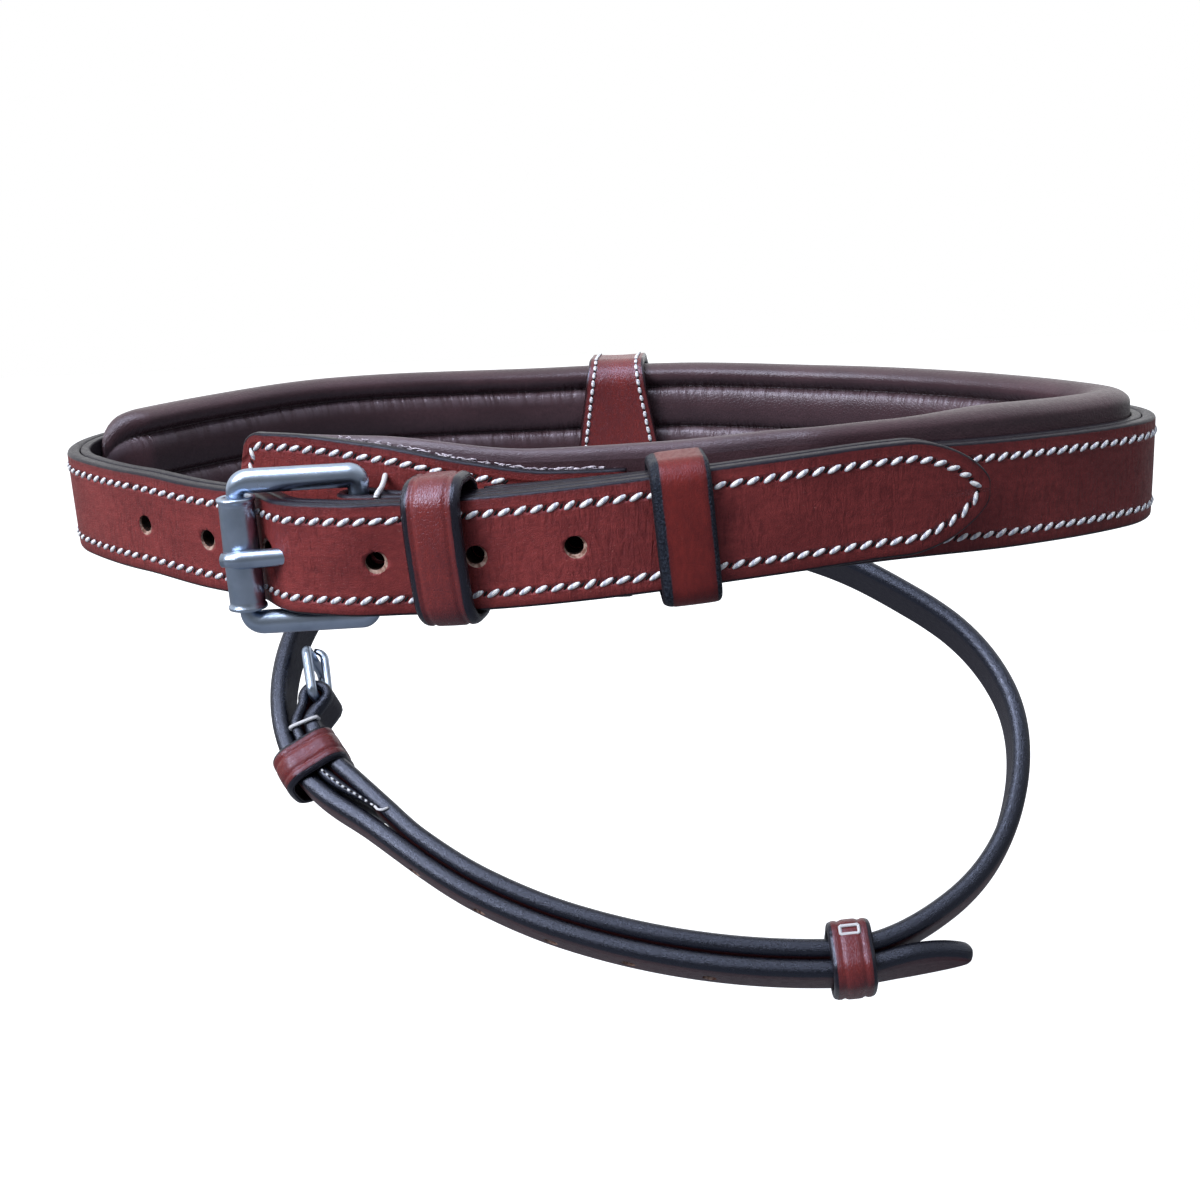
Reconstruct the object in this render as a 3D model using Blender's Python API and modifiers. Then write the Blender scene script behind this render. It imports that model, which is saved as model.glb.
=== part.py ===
# Flash noseband of a bridle: a stitched leather strap buckled into an oval ring, with a padded lining and a
# thin flash strap that hangs as a hoop from a tab at the back. Metres, +Z up, the buckle faces -Y.
import math

import bmesh
import bpy
import numpy as np
from mathutils import Matrix, Vector

MM = 0.001
GAP = 0.3 * MM

# Plan of the ring, at the outer face of the nose strap
RING_FRONT_RADIUS = 165 * MM
RING_BACK_RADIUS = 140 * MM
RING_CORNER_RADIUS = 25 * MM
RING_DEPTH = 137 * MM
RING_STEP = 15 * MM
RING_TURN_STEP = math.radians(17)

# Nose strap: a face leather and a backing sewn to it
STRAP_WIDTH = 21.5 * MM
FACE_THICKNESS = 2.8 * MM
BACKING_THICKNESS = 1.9 * MM
LAYER_GAP = 0.36 * MM
SKIVED_THICKNESS = 1.8 * MM
STRAP_EDGE = 0.6 * MM
TIP_LENGTH = 17 * MM
TIP_ALONG = 80 * MM
HOLE_DIAMETER = 3.8 * MM
HOLES_ALONG = [-97 * MM, -76.5 * MM, -34 * MM, -15.5 * MM, 2.4 * MM, 20 * MM]
TURN_BACK_ALONG = -16 * MM
FULL_THICKNESS_ALONG = -27 * MM
FOLD_CLOSED_ALONG = -33.5 * MM
FOLD_CLEARANCE = 0.45 * MM

# The ring isn't quite level: (length along it, height of the strap's middle). Its two fronts lie askew
STRAP_LIFTS = [(-28 * MM, -1.8 * MM), (-14 * MM, -0.9 * MM), (40 * MM, 2.0 * MM), (60 * MM, 2.3 * MM), (90 * MM, 1.2 * MM),
               (125 * MM, -0.2 * MM), (160 * MM, -0.9 * MM), (235 * MM, -0.8 * MM), (280 * MM, 0.0), (309 * MM, 0.0),
               (385 * MM, 2.2 * MM), (415 * MM, 1.6 * MM), (440 * MM, 0.9 * MM), (488.5 * MM, -0.6 * MM)]
BILLET_LIFTS = [(-100 * MM, -0.6 * MM), (-78 * MM, -1.6 * MM), (-64 * MM, -1.8 * MM), (-28 * MM, -1.8 * MM),
                (-14 * MM, -0.9 * MM), (40 * MM, 3.5 * MM), (60 * MM, 4.4 * MM)]

# Main roller buckle, placed by its heel bar and its roller along the ring
HEEL_ALONG = -41 * MM
HEEL_OUT = -2.85 * MM
HEEL_BAR_RADIUS = 2.0 * MM
ROLLER_ALONG = -61.8 * MM
ROLLER_OUT = 7.3 * MM
ROLLER_RADIUS = 3.4 * MM
ROLLER_RIM = 0.35 * MM
ROLLER_RIM_HEIGHT = 0.9 * MM
END_BAR_RADIUS = 1.7 * MM
BEARING_CLEARANCE = 0.35 * MM
FRAME_CORNER_ROOM = 0.9 * MM
FRAME_SIDE_PLAY = 1.2 * MM
FRAME_CORNER_RADIUS = 3.2 * MM
TONGUE_EYE_RADIUS = 1.2 * MM
TONGUE_RADIUS = 1.8 * MM
TONGUE_TIP_RADIUS = 1.3 * MM
TONGUE_OVERHANG = 2.0 * MM
TONGUE_EYE_TURN = math.radians(262)
ROCK_ANGLE = math.radians(4)

# Billet: how far its outer face stands out of the ring's plan
BILLET_RISE_START = -100 * MM
BILLET_AT_ROLLER_ALONG = -64.0 * MM
BILLET_AT_ROLLER_OUT = 1.8 * MM
BILLET_CREST_ALONG = -48.5 * MM
BILLET_CREST_OUT = 9.2 * MM
BILLET_CREST_END = -40 * MM
BILLET_DOWN_ALONG = -27 * MM
BILLET_DOWN_OUT = 6.4 * MM
BILLET_FLAT_ALONG = -14 * MM

# Keepers
KEEPER_THICKNESS = 1.8 * MM
KEEPER_WIDTH = 12 * MM
KEEPER_CORNER = 1.9 * MM
KEEPER_SLACK = 0.7 * MM
KEEPER_SIDE_SLACK = 0.5 * MM
LOOP_EDGE = 0.5 * MM
FIXED_KEEPER_ALONG = -21.5 * MM
RUNNING_KEEPER_ALONG = 22 * MM

# Guard behind the buckle and the padded lining
GUARD_ALONG_START = -72.5 * MM
GUARD_ALONG_END = 12 * MM
GUARD_OUT = -8.3 * MM
GUARD_THICKNESS = 2.2 * MM
GUARD_HEIGHT = 25 * MM
GUARD_LIFTS = [(-60 * MM, 5.4 * MM), (-6 * MM, -1.0 * MM)]
GUARD_CORNER = 3.5 * MM
GUARD_EDGE = 0.4 * MM
GUARD_END_SLANT = 3.5 * MM
GUARD_SLANT_REACH = 16 * MM
LINING_LIFTS = [(-42 * MM, 3.6 * MM), (-6 * MM, 0.8 * MM)]
LINING_ALONG_START = -74 * MM
LINING_FULL_ALONG = 52 * MM
LINING_STEP_ALONG = 40 * MM
LINING_END_FROM_BACK = 145 * MM
LINING_END_LENGTH = 14 * MM
LINING_SWELL_ALONG = 65 * MM
LINING_FULLNESS = [(-18 * MM, 0.0), (27 * MM, 0.25), (LINING_SWELL_ALONG, 0.35), (93 * MM, 1.0)]
LINING_END_FULLNESS = 0.3

# Flash tab at the middle of the back
TAB_THICKNESS = 2.2 * MM
TAB_TOP_WIDTH = 15.5 * MM
TAB_WIDTH = 21.5 * MM
TAB_FULL_WIDTH_Z = -8 * MM
TAB_CORNER = 5.5 * MM
TAB_SLACK = 1.5 * MM
TAB_SWING_ROOM = 2.1 * MM

# Flash strap: a hoop in a plane that leans forward from the tab
HOOP_FRONT_RADIUS = 190 * MM
HOOP_BACK_RADIUS = 225 * MM
HOOP_CORNER_RADIUS = 51 * MM
HOOP_DEPTH = 115.5 * MM
HOOP_TURN = math.radians(-17.5)
HOOP_SIDE_SHIFT = 5.9 * MM
HOOP_LEAN = math.radians(46)
HOOP_STEP = 10 * MM
HOOP_TURN_STEP = math.radians(13)
FLASH_INSET = 6.8 * MM
FLASH_WIDTH = 12.7 * MM
FLASH_THICKNESS = 4.4 * MM
FLASH_EDGE = 1.3 * MM

# The flash strap's buckle lies inside the hoop with its tongue to the inner side, and the billet passes it
FLASH_FOLD_THICKNESS = 2.7 * MM
FLASH_HEEL_ALONG = -97 * MM
FLASH_HEEL_OUT = -8.0 * MM
FLASH_END_ALONG = -112 * MM
FLASH_END_OUT = -6.2 * MM
FLASH_BAR_RADIUS = 1.4 * MM
FLASH_FRAME_CORNER = 2.4 * MM
FLASH_EYE_RADIUS = 0.8 * MM
FLASH_TONGUE_RADIUS = 1.1 * MM
FLASH_TONGUE_TIP = 0.8 * MM
FLASH_TONGUE_OVERHANG = 3.2 * MM
FLASH_TURN_BACK_ALONG = -56 * MM
FLASH_TURN_BACK_OUT = -1.45 * MM
FLASH_UNDER_OUT = -5.4 * MM
FLASH_CLOSED_ALONG = -86 * MM
FLASH_SINGLE_ALONG = -28 * MM
FLASH_BILLET_LEAVES = -150 * MM
FLASH_BILLET_JOINS = -80 * MM
FLASH_HOLE_DIAMETER = 2.8 * MM
FLASH_HOLE_PITCH = 18.7 * MM
FLASH_HOLE_FIRST = -40 * MM
FLASH_HOLE_COUNT = 5
FLASH_KEEPER_WIDTH = 10 * MM
FLASH_KEEPER_THICKNESS = 1.6 * MM
FLASH_KEEPER_CORNER = 1.7 * MM
FLASH_KEEPER_SLACK = 0.6 * MM
FLASH_FIXED_KEEPER_ALONG = -80 * MM
FLASH_RUNNING_KEEPER_ALONG = 67 * MM
FLASH_TIP_ALONG = 93.5 * MM
FLASH_TIP_LENGTH = 9 * MM
FLASH_TIP_LEAVES = 68.5 * MM
FLASH_TIP_LIFT = 9.3 * MM

STRAP_THICKNESS = FACE_THICKNESS + LAYER_GAP + BACKING_THICKNESS
HALF_STRAP = STRAP_WIDTH / 2
BILLET_OUT = STRAP_THICKNESS + 1.5 * GAP
KEEPER_BACK = -STRAP_THICKNESS - KEEPER_SLACK
FLASH_BILLET = FLASH_THICKNESS / 2 + GAP
FLASH_KEEPER_FRONT = FLASH_BILLET + FLASH_THICKNESS / 2 + FLASH_KEEPER_SLACK


class Oval:
    """Closed plan of four tangent arcs, alike left and right. A place on it is its length from the middle of
    the front arc, growing counter-clockwise, and its distance out of the plan."""

    def __init__(self, front_radius, back_radius, corner_radius, depth, longest_step, sharpest_step):
        front_y = front_radius - depth / 2
        back_y = depth / 2 - back_radius
        front_reach = front_radius - corner_radius
        back_reach = back_radius - corner_radius
        corner_y = (back_reach**2 - front_reach**2 - back_y**2 + front_y**2) / (2 * (front_y - back_y))
        corner_x = math.sqrt(front_reach**2 - (corner_y - front_y) ** 2)
        front_half = math.atan2(corner_x, front_y - corner_y)
        back_half = math.atan2(corner_x, corner_y - back_y)
        corner_turn = math.pi - front_half - back_half
        down = -math.pi / 2
        arcs = [
            (0.0, front_y, front_radius, down, front_half),
            (corner_x, corner_y, corner_radius, down + front_half, corner_turn),
            (0.0, back_y, back_radius, -down - back_half, 2 * back_half),
            (-corner_x, corner_y, corner_radius, -down + back_half, corner_turn),
            (0.0, front_y, front_radius, down - front_half, front_half),
        ]
        self.x, self.y, self.radius, self.angle, self.turn = (np.array(column) for column in zip(*arcs))
        self.ends = np.cumsum(self.radius * self.turn)
        self.starts = self.ends - self.radius * self.turn
        self.length = self.ends[-1]
        self.front_centre = Vector((0, front_y, 0))
        grid = []
        for start, end, radius in zip(self.starts, self.ends, self.radius):
            steps = math.ceil((end - start) / min(longest_step, sharpest_step * radius))
            grid.append(np.linspace(start, end, steps + 1)[:-1])
        self.grid = np.concatenate(grid)

    def angle_at(self, along):
        """Direction out of the plan, as an angle from +X."""
        wrapped = np.mod(along, self.length)
        arc = np.clip(np.searchsorted(self.ends, wrapped), 0, 4)
        return self.angle[arc] + (wrapped - self.starts[arc]) / self.radius[arc]

    def at(self, along, out):
        """Points at lengths along the plan and distances out of it."""
        wrapped = np.mod(along, self.length)
        arc = np.clip(np.searchsorted(self.ends, wrapped), 0, 4)
        angle = self.angle[arc] + (wrapped - self.starts[arc]) / self.radius[arc]
        reach = self.radius[arc] + out
        return np.stack([self.x[arc] + reach * np.cos(angle), self.y[arc] + reach * np.sin(angle)], axis=-1)

    def stations(self, start, end):
        """Lengths from start to end at which every layer round the plan has its sections."""
        laps = np.arange(math.floor(start / self.length), math.floor(end / self.length) + 1)
        grid = (self.grid[None, :] + laps[:, None] * self.length).ravel()
        room = 1.5 * MM
        return np.concatenate([[start], grid[(grid > start + room) & (grid < end - room)], [end]])

    def frame(self, along, out, height=0.0, slope=0.0):
        """Matrix at a place: local X points out of the plan, local Y up and local Z back along it. A slope tips
        it so that it stands square to a strap that climbs along the plan."""
        x, y = self.at(along, out)
        angle = self.angle_at(along)
        outward = Vector((math.cos(angle), math.sin(angle), 0))
        up = Vector((0, 0, 1))
        back = (outward.cross(up) - up * slope).normalized()
        return axes_matrix(Vector((x, y, height)), outward, back.cross(outward), back)


def axes_matrix(origin, x_axis, y_axis, z_axis):
    """Matrix with the given origin and axes."""
    matrix = Matrix((x_axis, y_axis, z_axis)).transposed().to_4x4()
    matrix.translation = origin
    return matrix


def eased(along, knots):
    """Value at lengths along a plan: a smooth curve through knots of (length, value) that never overshoots
    them and is level at both ends."""
    along = np.asarray(along, dtype=float)
    places, values = (np.array(column) for column in zip(*knots))
    widths = np.diff(places)
    rates = np.diff(values) / widths
    slopes = np.zeros(len(places))
    product = rates[:-1] * rates[1:]
    same_way = product > 0
    slopes[1:-1][same_way] = 2 * product[same_way] / (rates[:-1] + rates[1:])[same_way]
    index = np.clip(np.searchsorted(places, along) - 1, 0, len(places) - 2)
    share = np.clip((along - places[index]) / widths[index], 0, 1)
    smooth = share * share * (3 - 2 * share)
    bend = share * (1 - share) * widths[index] * (slopes[index] * (1 - share) - slopes[index + 1] * share)
    return values[index] + (values[index + 1] - values[index]) * smooth + bend


def side_vectors(path, closed=False):
    """Unit vectors to the right of a plan path, which point out of a counter-clockwise one."""
    if closed:
        step = np.roll(path, -1, axis=0) - np.roll(path, 1, axis=0)
    else:
        step = np.gradient(path, axis=0)
    side = np.stack([step[:, 1], -step[:, 0]], axis=1)
    return side / np.linalg.norm(side, axis=1, keepdims=True)


def beside(path, distance):
    """The path moved to its right by a distance."""
    return path + side_vectors(path) * distance


def new_mesh(name, points, faces):
    """Mesh from points and faces, with its faces turned outwards."""
    mesh = bpy.data.meshes.new(name)
    mesh.from_pydata([tuple(point) for point in points], [], faces)
    shape = bmesh.new()
    shape.from_mesh(mesh)
    bmesh.ops.recalc_face_normals(shape, faces=shape.faces)
    shape.to_mesh(mesh)
    shape.free()
    return mesh


def add_part(name, data, material, matrix=Matrix(), origin=None):
    """Object in the parts' collection. Its data is in the matrix's frame, and its origin may be moved."""
    origin = matrix if origin is None else origin
    if isinstance(data, bpy.types.Mesh):
        data.transform(origin.inverted() @ matrix)
        data.shade_smooth()
        data.set_sharp_from_angle(angle=math.radians(38))
    data.materials.append(material)
    part = bpy.data.objects.new(name, data)
    part.matrix_world = origin
    parts.objects.link(part)
    return part


def strap_mesh(name, path, thickness, low, high, edge, closed=False):
    """Loft of a strap standing on edge along a plan path. Its section is a rectangle with cut corners."""
    count = len(path)
    thickness = np.broadcast_to(thickness, count)
    low = np.broadcast_to(low, count)
    high = np.broadcast_to(high, count)
    side = side_vectors(path, closed)
    half = thickness / 2
    cut = np.minimum(edge, half * 0.9)
    section = [(half, low + cut), (half, high - cut), (half - cut, high), (cut - half, high),
               (-half, high - cut), (-half, low + cut), (cut - half, low), (half - cut, low)]
    rings = np.stack([np.column_stack([path + side * out[:, None], z]) for out, z in section], axis=1)
    sides = len(section)
    faces = []
    for row in range(count if closed else count - 1):
        after = (row + 1) % count
        for column in range(sides):
            beyond = (column + 1) % sides
            faces.append((row * sides + column, row * sides + beyond, after * sides + beyond, after * sides + column))
    if not closed:
        faces.append(tuple(range(sides)))
        faces.append(tuple(range((count - 1) * sides, count * sides)))
    return new_mesh(name, rings.reshape(-1, 3), faces)


def rounded_loop(left, right, bottom, top, radius, steps=4):
    """Closed counter-clockwise path round a rectangle with rounded corners."""
    corners = [(right - radius, bottom + radius), (right - radius, top - radius),
               (left + radius, top - radius), (left + radius, bottom + radius)]
    points = []
    for number, (x, y) in enumerate(corners):
        turn = (number - 1 + np.linspace(0, 1, steps + 1)) * math.pi / 2
        points.append(np.column_stack([x + radius * np.cos(turn), y + radius * np.sin(turn)]))
    return np.concatenate(points)


def point_ends(along, end, length, half_width, bluntness=0.12):
    """Half width of a strap whose tip narrows to a rounded point."""
    share = np.clip((along - (end - length)) / length, 0, 1)
    return half_width * (bluntness + (1 - bluntness) * np.sqrt(1 - share**2.2))


def tip_stations(end, length, count=7):
    """Lengths that crowd towards a tip."""
    return end - length + length * np.sin(np.linspace(0, math.pi / 2, count))


def add_cutter(name, mesh, matrix=Matrix()):
    """Object in the cutters' collection, drawn as wire."""
    cutter = bpy.data.objects.new(name, mesh)
    cutter.matrix_world = matrix
    cutter.display_type = "WIRE"
    cutter.hide_render = True
    cutters.objects.link(cutter)
    return cutter


def cut_away(part, cutter):
    """Boolean difference that stays live on the part."""
    cut = part.modifiers.new(cutter.name, "BOOLEAN")
    cut.operation = "DIFFERENCE"
    cut.object = cutter


def punch_mesh(name, frames, diameter, length):
    """Cylinders along the local X axis of each frame, as one cutter mesh."""
    shape = bmesh.new()
    across = Matrix.Rotation(math.pi / 2, 4, "Y")
    for frame in frames:
        bmesh.ops.create_cone(shape, cap_ends=True, segments=12, radius1=diameter / 2, radius2=diameter / 2,
                              depth=length, matrix=frame @ across)
    mesh = bpy.data.meshes.new(name)
    shape.to_mesh(mesh)
    shape.free()
    return mesh


def box_mesh(name, low, high):
    """Box between two corners."""
    shape = bmesh.new()
    middle = (Vector(low) + Vector(high)) / 2
    size = Vector(high) - Vector(low)
    bmesh.ops.create_cube(shape, size=1, matrix=Matrix.Translation(middle) @ Matrix.Diagonal((*size, 1)))
    mesh = bpy.data.meshes.new(name)
    shape.to_mesh(mesh)
    shape.free()
    return mesh


def rod_curve(name, points, radii, closed=False, resolution=2):
    """Round rod along points, each with its own radius."""
    curve = bpy.data.curves.new(name, "CURVE")
    curve.dimensions = "3D"
    curve.resolution_u = 1
    curve.render_resolution_u = 0
    curve.bevel_depth = 1.0
    curve.bevel_resolution = resolution
    curve.use_fill_caps = True
    spline = curve.splines.new("POLY")
    spline.points.add(len(points) - 1)
    for knot, place, radius in zip(spline.points, points, radii):
        knot.co = (*place, 1)
        knot.radius = radius
    spline.use_cyclic_u = closed
    return curve


def leather(name, colour, roughness=0.5, metallic=0.0):
    """Principled material of one colour, given as sRGB hex."""
    material = bpy.data.materials.new(name)
    material.use_nodes = True
    shader = material.node_tree.nodes["Principled BSDF"]
    values = [int(colour[place : place + 2], 16) / 255 for place in (0, 2, 4)]
    linear = [value / 12.92 if value <= 0.04045 else ((value + 0.055) / 1.055) ** 2.4 for value in values]
    shader.inputs["Base Color"].default_value = (*linear, 1)
    shader.inputs["Roughness"].default_value = roughness
    shader.inputs["Metallic"].default_value = metallic
    return material


def buckle_axes(heel, end, side):
    """Matrix and reach of a buckle: origin on the heel bar, X towards the end bar and Y to the tongue's side,
    which is out of the plan for side 1 and into it for side -1."""
    reach = Vector((*(end - heel), 0))
    x_axis = reach.normalized()
    z_axis = Vector((0, 0, side))
    return axes_matrix(Vector((*heel, 0)), x_axis, z_axis.cross(x_axis), z_axis), reach.length


def frame_points(reach, half_height, corner, steps=4):
    """Middle line of a buckle frame in its own plane: a rectangle with rounded corners."""
    loop = rounded_loop(0, reach, -half_height, half_height, corner, steps)
    return [(x, 0, z) for x, z in loop]


def tongue_points(eye_radius, reach, rest_radius, overhang, steps=9):
    """Middle line of a tongue: an open eye round the heel bar, a straight shank that lies on the end bar and a
    tip bent over it. The shank is the common tangent of two circles."""
    tilt = math.asin((rest_radius - eye_radius) / reach)
    eye_turns = np.linspace(TONGUE_EYE_TURN, 0, steps) + math.pi / 2 + tilt
    points = [(eye_radius * math.cos(turn), eye_radius * math.sin(turn), 0) for turn in eye_turns]
    seat = (reach - rest_radius * math.sin(tilt), rest_radius * math.cos(tilt))
    for share in (0.2, 0.45, 0.75):
        start = points[steps - 1]
        points.append((start[0] + (seat[0] - start[0]) * share, start[1] + (seat[1] - start[1]) * share, 0))
    for turn in np.linspace(0, overhang / rest_radius, 4):
        angle = math.pi / 2 + tilt - turn
        points.append((reach + rest_radius * math.cos(angle), rest_radius * math.sin(angle), 0))
    return points, steps


def billet_out(along):
    """Outer face of the billet, out of the ring's plan."""
    return eased(along, [(BILLET_RISE_START, 0.0), (BILLET_AT_ROLLER_ALONG, BILLET_AT_ROLLER_OUT),
                         (BILLET_CREST_ALONG, BILLET_CREST_OUT), (BILLET_CREST_END, BILLET_CREST_OUT),
                         (BILLET_DOWN_ALONG, BILLET_DOWN_OUT), (BILLET_FLAT_ALONG, BILLET_OUT)])


def strap_lift(along):
    """Height of the middle of the nose strap and its lining."""
    return eased(along, STRAP_LIFTS)


def billet_lift(along):
    """Height of the middle of the billet, which climbs more than the strap under it."""
    return eased(along, BILLET_LIFTS)


def keeper_height_and_slope(along):
    """Middle and climb of the two straps in a keeper."""
    reach = 6 * MM
    middles = [float(lift(along + step)) for lift in (strap_lift, billet_lift) for step in (-reach, reach)]
    return sum(middles) / 4, (middles[1] + middles[3] - middles[0] - middles[2]) / (4 * reach)


def merged(*lengths, closest=1.2 * MM):
    """Sorted lengths from several lists, without those that nearly repeat."""
    kept = []
    for length in np.sort(np.concatenate(lengths)):
        if not kept or length - kept[-1] > closest:
            kept.append(length)
    return np.array(kept)


def fold_path(plan, along, out, radius, outward_first):
    """Half turn round a bar on its far side, from the inner to the outer side or the other way."""
    turn = np.linspace(0, math.pi, 11)[1:-1]
    angle = plan.angle_at(along) + (-turn if outward_first else turn - math.pi)
    return plan.at(along, out) + radius * np.column_stack([np.cos(angle), np.sin(angle)])


def build_nose_strap(ring, material, backing_material):
    """Face leather and backing, from the fold round the heel bar once round the ring and on to the tip."""
    fold_radius = HEEL_BAR_RADIUS + FOLD_CLEARANCE + SKIVED_THICKNESS / 2
    layer_in = STRAP_THICKNESS - BACKING_THICKNESS / 2
    face_in = FACE_THICKNESS / 2

    turn_back = np.linspace(TURN_BACK_ALONG, HEEL_ALONG, 8)
    turn_back_path = ring.at(turn_back, eased(turn_back, [(HEEL_ALONG, HEEL_OUT - fold_radius),
                                                          (FOLD_CLOSED_ALONG, -layer_in), (0.0, -layer_in)]))
    fold = fold_path(ring, HEEL_ALONG, HEEL_OUT, fold_radius, False)

    first = np.linspace(HEEL_ALONG, FULL_THICKNESS_ALONG, 7)[:-1]
    lap = ring.stations(FULL_THICKNESS_ALONG, ring.length + BILLET_RISE_START)
    main_along = np.concatenate([first, lap])
    main_out = eased(main_along, [(HEEL_ALONG, HEEL_OUT + fold_radius), (FULL_THICKNESS_ALONG, -face_in),
                                  (ring.length, -face_in)])

    billet = merged(np.linspace(BILLET_RISE_START, BILLET_AT_ROLLER_ALONG, 6),
                    np.arange(BILLET_AT_ROLLER_ALONG, BILLET_FLAT_ALONG, 2.6 * MM),
                    np.arange(BILLET_FLAT_ALONG, TIP_ALONG - TIP_LENGTH, 9 * MM), tip_stations(TIP_ALONG, TIP_LENGTH))
    billet_middle = ring.at(billet, billet_out(billet) - STRAP_THICKNESS / 2)
    face_shift = (STRAP_THICKNESS - FACE_THICKNESS) / 2
    backing_shift = (STRAP_THICKNESS - BACKING_THICKNESS) / 2
    billet_half = point_ends(billet, TIP_ALONG, TIP_LENGTH, HALF_STRAP)[1:]

    path = np.concatenate([turn_back_path, fold, ring.at(main_along, main_out), beside(billet_middle, face_shift)[1:]])
    folded = len(turn_back_path) + len(fold)
    thickness = np.full(len(path), FACE_THICKNESS)
    thickness[:folded] = SKIVED_THICKNESS
    thickness[folded : folded + len(main_along)] = eased(
        main_along, [(HEEL_ALONG, SKIVED_THICKNESS), (FULL_THICKNESS_ALONG, FACE_THICKNESS), (ring.length, FACE_THICKNESS)])
    half = np.full(len(path), HALF_STRAP)
    half[-len(billet_half) :] = billet_half
    lift = np.concatenate([strap_lift(turn_back), np.full(len(fold), strap_lift(HEEL_ALONG)), strap_lift(main_along),
                           billet_lift(billet)[1:]])
    strap = add_part("nose_strap", strap_mesh("nose_strap", path, thickness, lift - half, lift + half, STRAP_EDGE), material)

    lap = ring.stations(TURN_BACK_ALONG + 2 * GAP, ring.length + BILLET_RISE_START)
    path = np.concatenate([ring.at(lap, -layer_in), beside(billet_middle, -backing_shift)[1:]])
    half = np.full(len(path), HALF_STRAP)
    half[-len(billet_half) :] = billet_half
    lift = np.concatenate([strap_lift(lap), billet_lift(billet)[1:]])
    backing_mesh = strap_mesh("strap_backing", path, BACKING_THICKNESS, lift - half, lift + half, STRAP_EDGE)
    backing = add_part("strap_backing", backing_mesh, backing_material)

    frames = [ring.frame(along, float(billet_out(along)) - STRAP_THICKNESS / 2, float(billet_lift(along)))
              for along in HOLES_ALONG]
    punch = add_cutter("hole_punch", punch_mesh("hole_punch", frames, HOLE_DIAMETER, STRAP_THICKNESS + 0.6 * MM))
    for layer in (strap, backing):
        cut_away(layer, punch)
    return strap, backing


def build_buckle(name, matrix, reach, sizes, half_opening, material, strap):
    """Frame and tongue of a buckle, and the slot for the tongue's eye in the strap's fold."""
    loop = frame_points(reach, half_opening + sizes["bar"], sizes["corner"])
    radii = [sizes["end_bar"] if place[0] > reach - 0.2 * sizes["corner"] else sizes["bar"] for place in loop]
    add_part(f"{name}_frame", rod_curve(f"{name}_frame", loop, radii, closed=True), material, matrix)

    eye = sizes["bar"] + BEARING_CLEARANCE + sizes["eye"]
    rest = sizes["rest"] + GAP + sizes["tongue"]
    points, eye_count = tongue_points(eye, reach, rest, sizes["overhang"])
    radii = [sizes["eye"]] * eye_count + [sizes["tongue"]] * (len(points) - eye_count - 3)
    radii += list(np.linspace(sizes["tongue"], sizes["tip"], 4)[1:])
    add_part(f"{name}_tongue", rod_curve(f"{name}_tongue", points, radii), material, matrix)

    slot_reach = max(eye + sizes["eye"], sizes["bar"] + FOLD_CLEARANCE + sizes["fold"]) + GAP
    slot_half = sizes["eye"] + 2.5 * GAP
    slot_mesh = box_mesh(f"{name}_slot", (-slot_reach, -slot_reach, -slot_half), (slot_reach, slot_reach, slot_half))
    cut_away(strap, add_cutter(f"{name}_slot", slot_mesh, matrix))
    return points[eye_count - 1], points[eye_count + 3]


def tongue_sweep_mesh(name, start, end, radius):
    """Prism that the shank fills between rest and its rocked place, with room round it."""
    start = Vector(start[:2])
    end = Vector(end[:2])
    ahead = (end - start).normalized()
    side = Vector((-ahead.y, ahead.x))
    rocked = Matrix.Rotation(ROCK_ANGLE, 2)
    outline = [start - side * radius, end - side * radius, end + side * radius]
    outline += [rocked @ (end + side * radius), rocked @ (start + side * radius)]
    middle = sum(outline, Vector((0, 0))) / len(outline)
    outline.sort(key=lambda place: math.atan2(place.y - middle.y, place.x - middle.x))
    shape = bmesh.new()
    corners = [shape.verts.new((place.x, place.y, -radius)) for place in outline]
    face = shape.faces.new(corners)
    grown = bmesh.ops.extrude_face_region(shape, geom=[face])
    lifted = [item for item in grown["geom"] if isinstance(item, bmesh.types.BMVert)]
    bmesh.ops.translate(shape, verts=lifted, vec=(0, 0, 2 * radius))
    bmesh.ops.recalc_face_normals(shape, faces=shape.faces)
    mesh = bpy.data.meshes.new(name)
    shape.to_mesh(mesh)
    shape.free()
    return mesh


def build_roller(matrix, reach, material):
    """Roller: a turned tube with a small rim at each end, round the end bar."""
    half = HALF_STRAP + FRAME_SIDE_PLAY - FRAME_CORNER_ROOM
    inner = END_BAR_RADIUS + BEARING_CLEARANCE
    rim = ROLLER_RADIUS + ROLLER_RIM
    rim_low = half - ROLLER_RIM_HEIGHT
    profile = [(rim, half), (rim, rim_low), (ROLLER_RADIUS, rim_low - ROLLER_RIM),
               (ROLLER_RADIUS, -rim_low + ROLLER_RIM), (rim, -rim_low), (rim, -half), (inner, -half), (inner, half)]
    mesh = bpy.data.meshes.new("buckle_roller")
    edges = [(number, (number + 1) % len(profile)) for number in range(len(profile))]
    mesh.from_pydata([(radius, 0, z) for radius, z in profile], edges, [])
    roller = add_part("buckle_roller", mesh, material, matrix @ Matrix.Translation((reach, 0, 0)))
    screw = roller.modifiers.new("turn", "SCREW")
    screw.axis = "Z"
    screw.angle = 2 * math.pi
    screw.steps = 24
    screw.render_steps = 24
    screw.use_merge_vertices = True
    screw.merge_threshold = 0.01 * MM
    screw.use_smooth_shade = True


def add_keeper(name, matrix, bounds, thickness, width, corner, material, origin=None):
    """Leather loop round straps. bounds are the loop's inner faces: back, front, bottom and top."""
    back, front, bottom, top = bounds
    half = thickness / 2
    loop = rounded_loop(back - half, front + half, bottom - half, top + half, corner)
    mesh = strap_mesh(name, loop, thickness, -width / 2, width / 2, LOOP_EDGE, closed=True)
    return add_part(name, mesh, material, matrix, origin)


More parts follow.
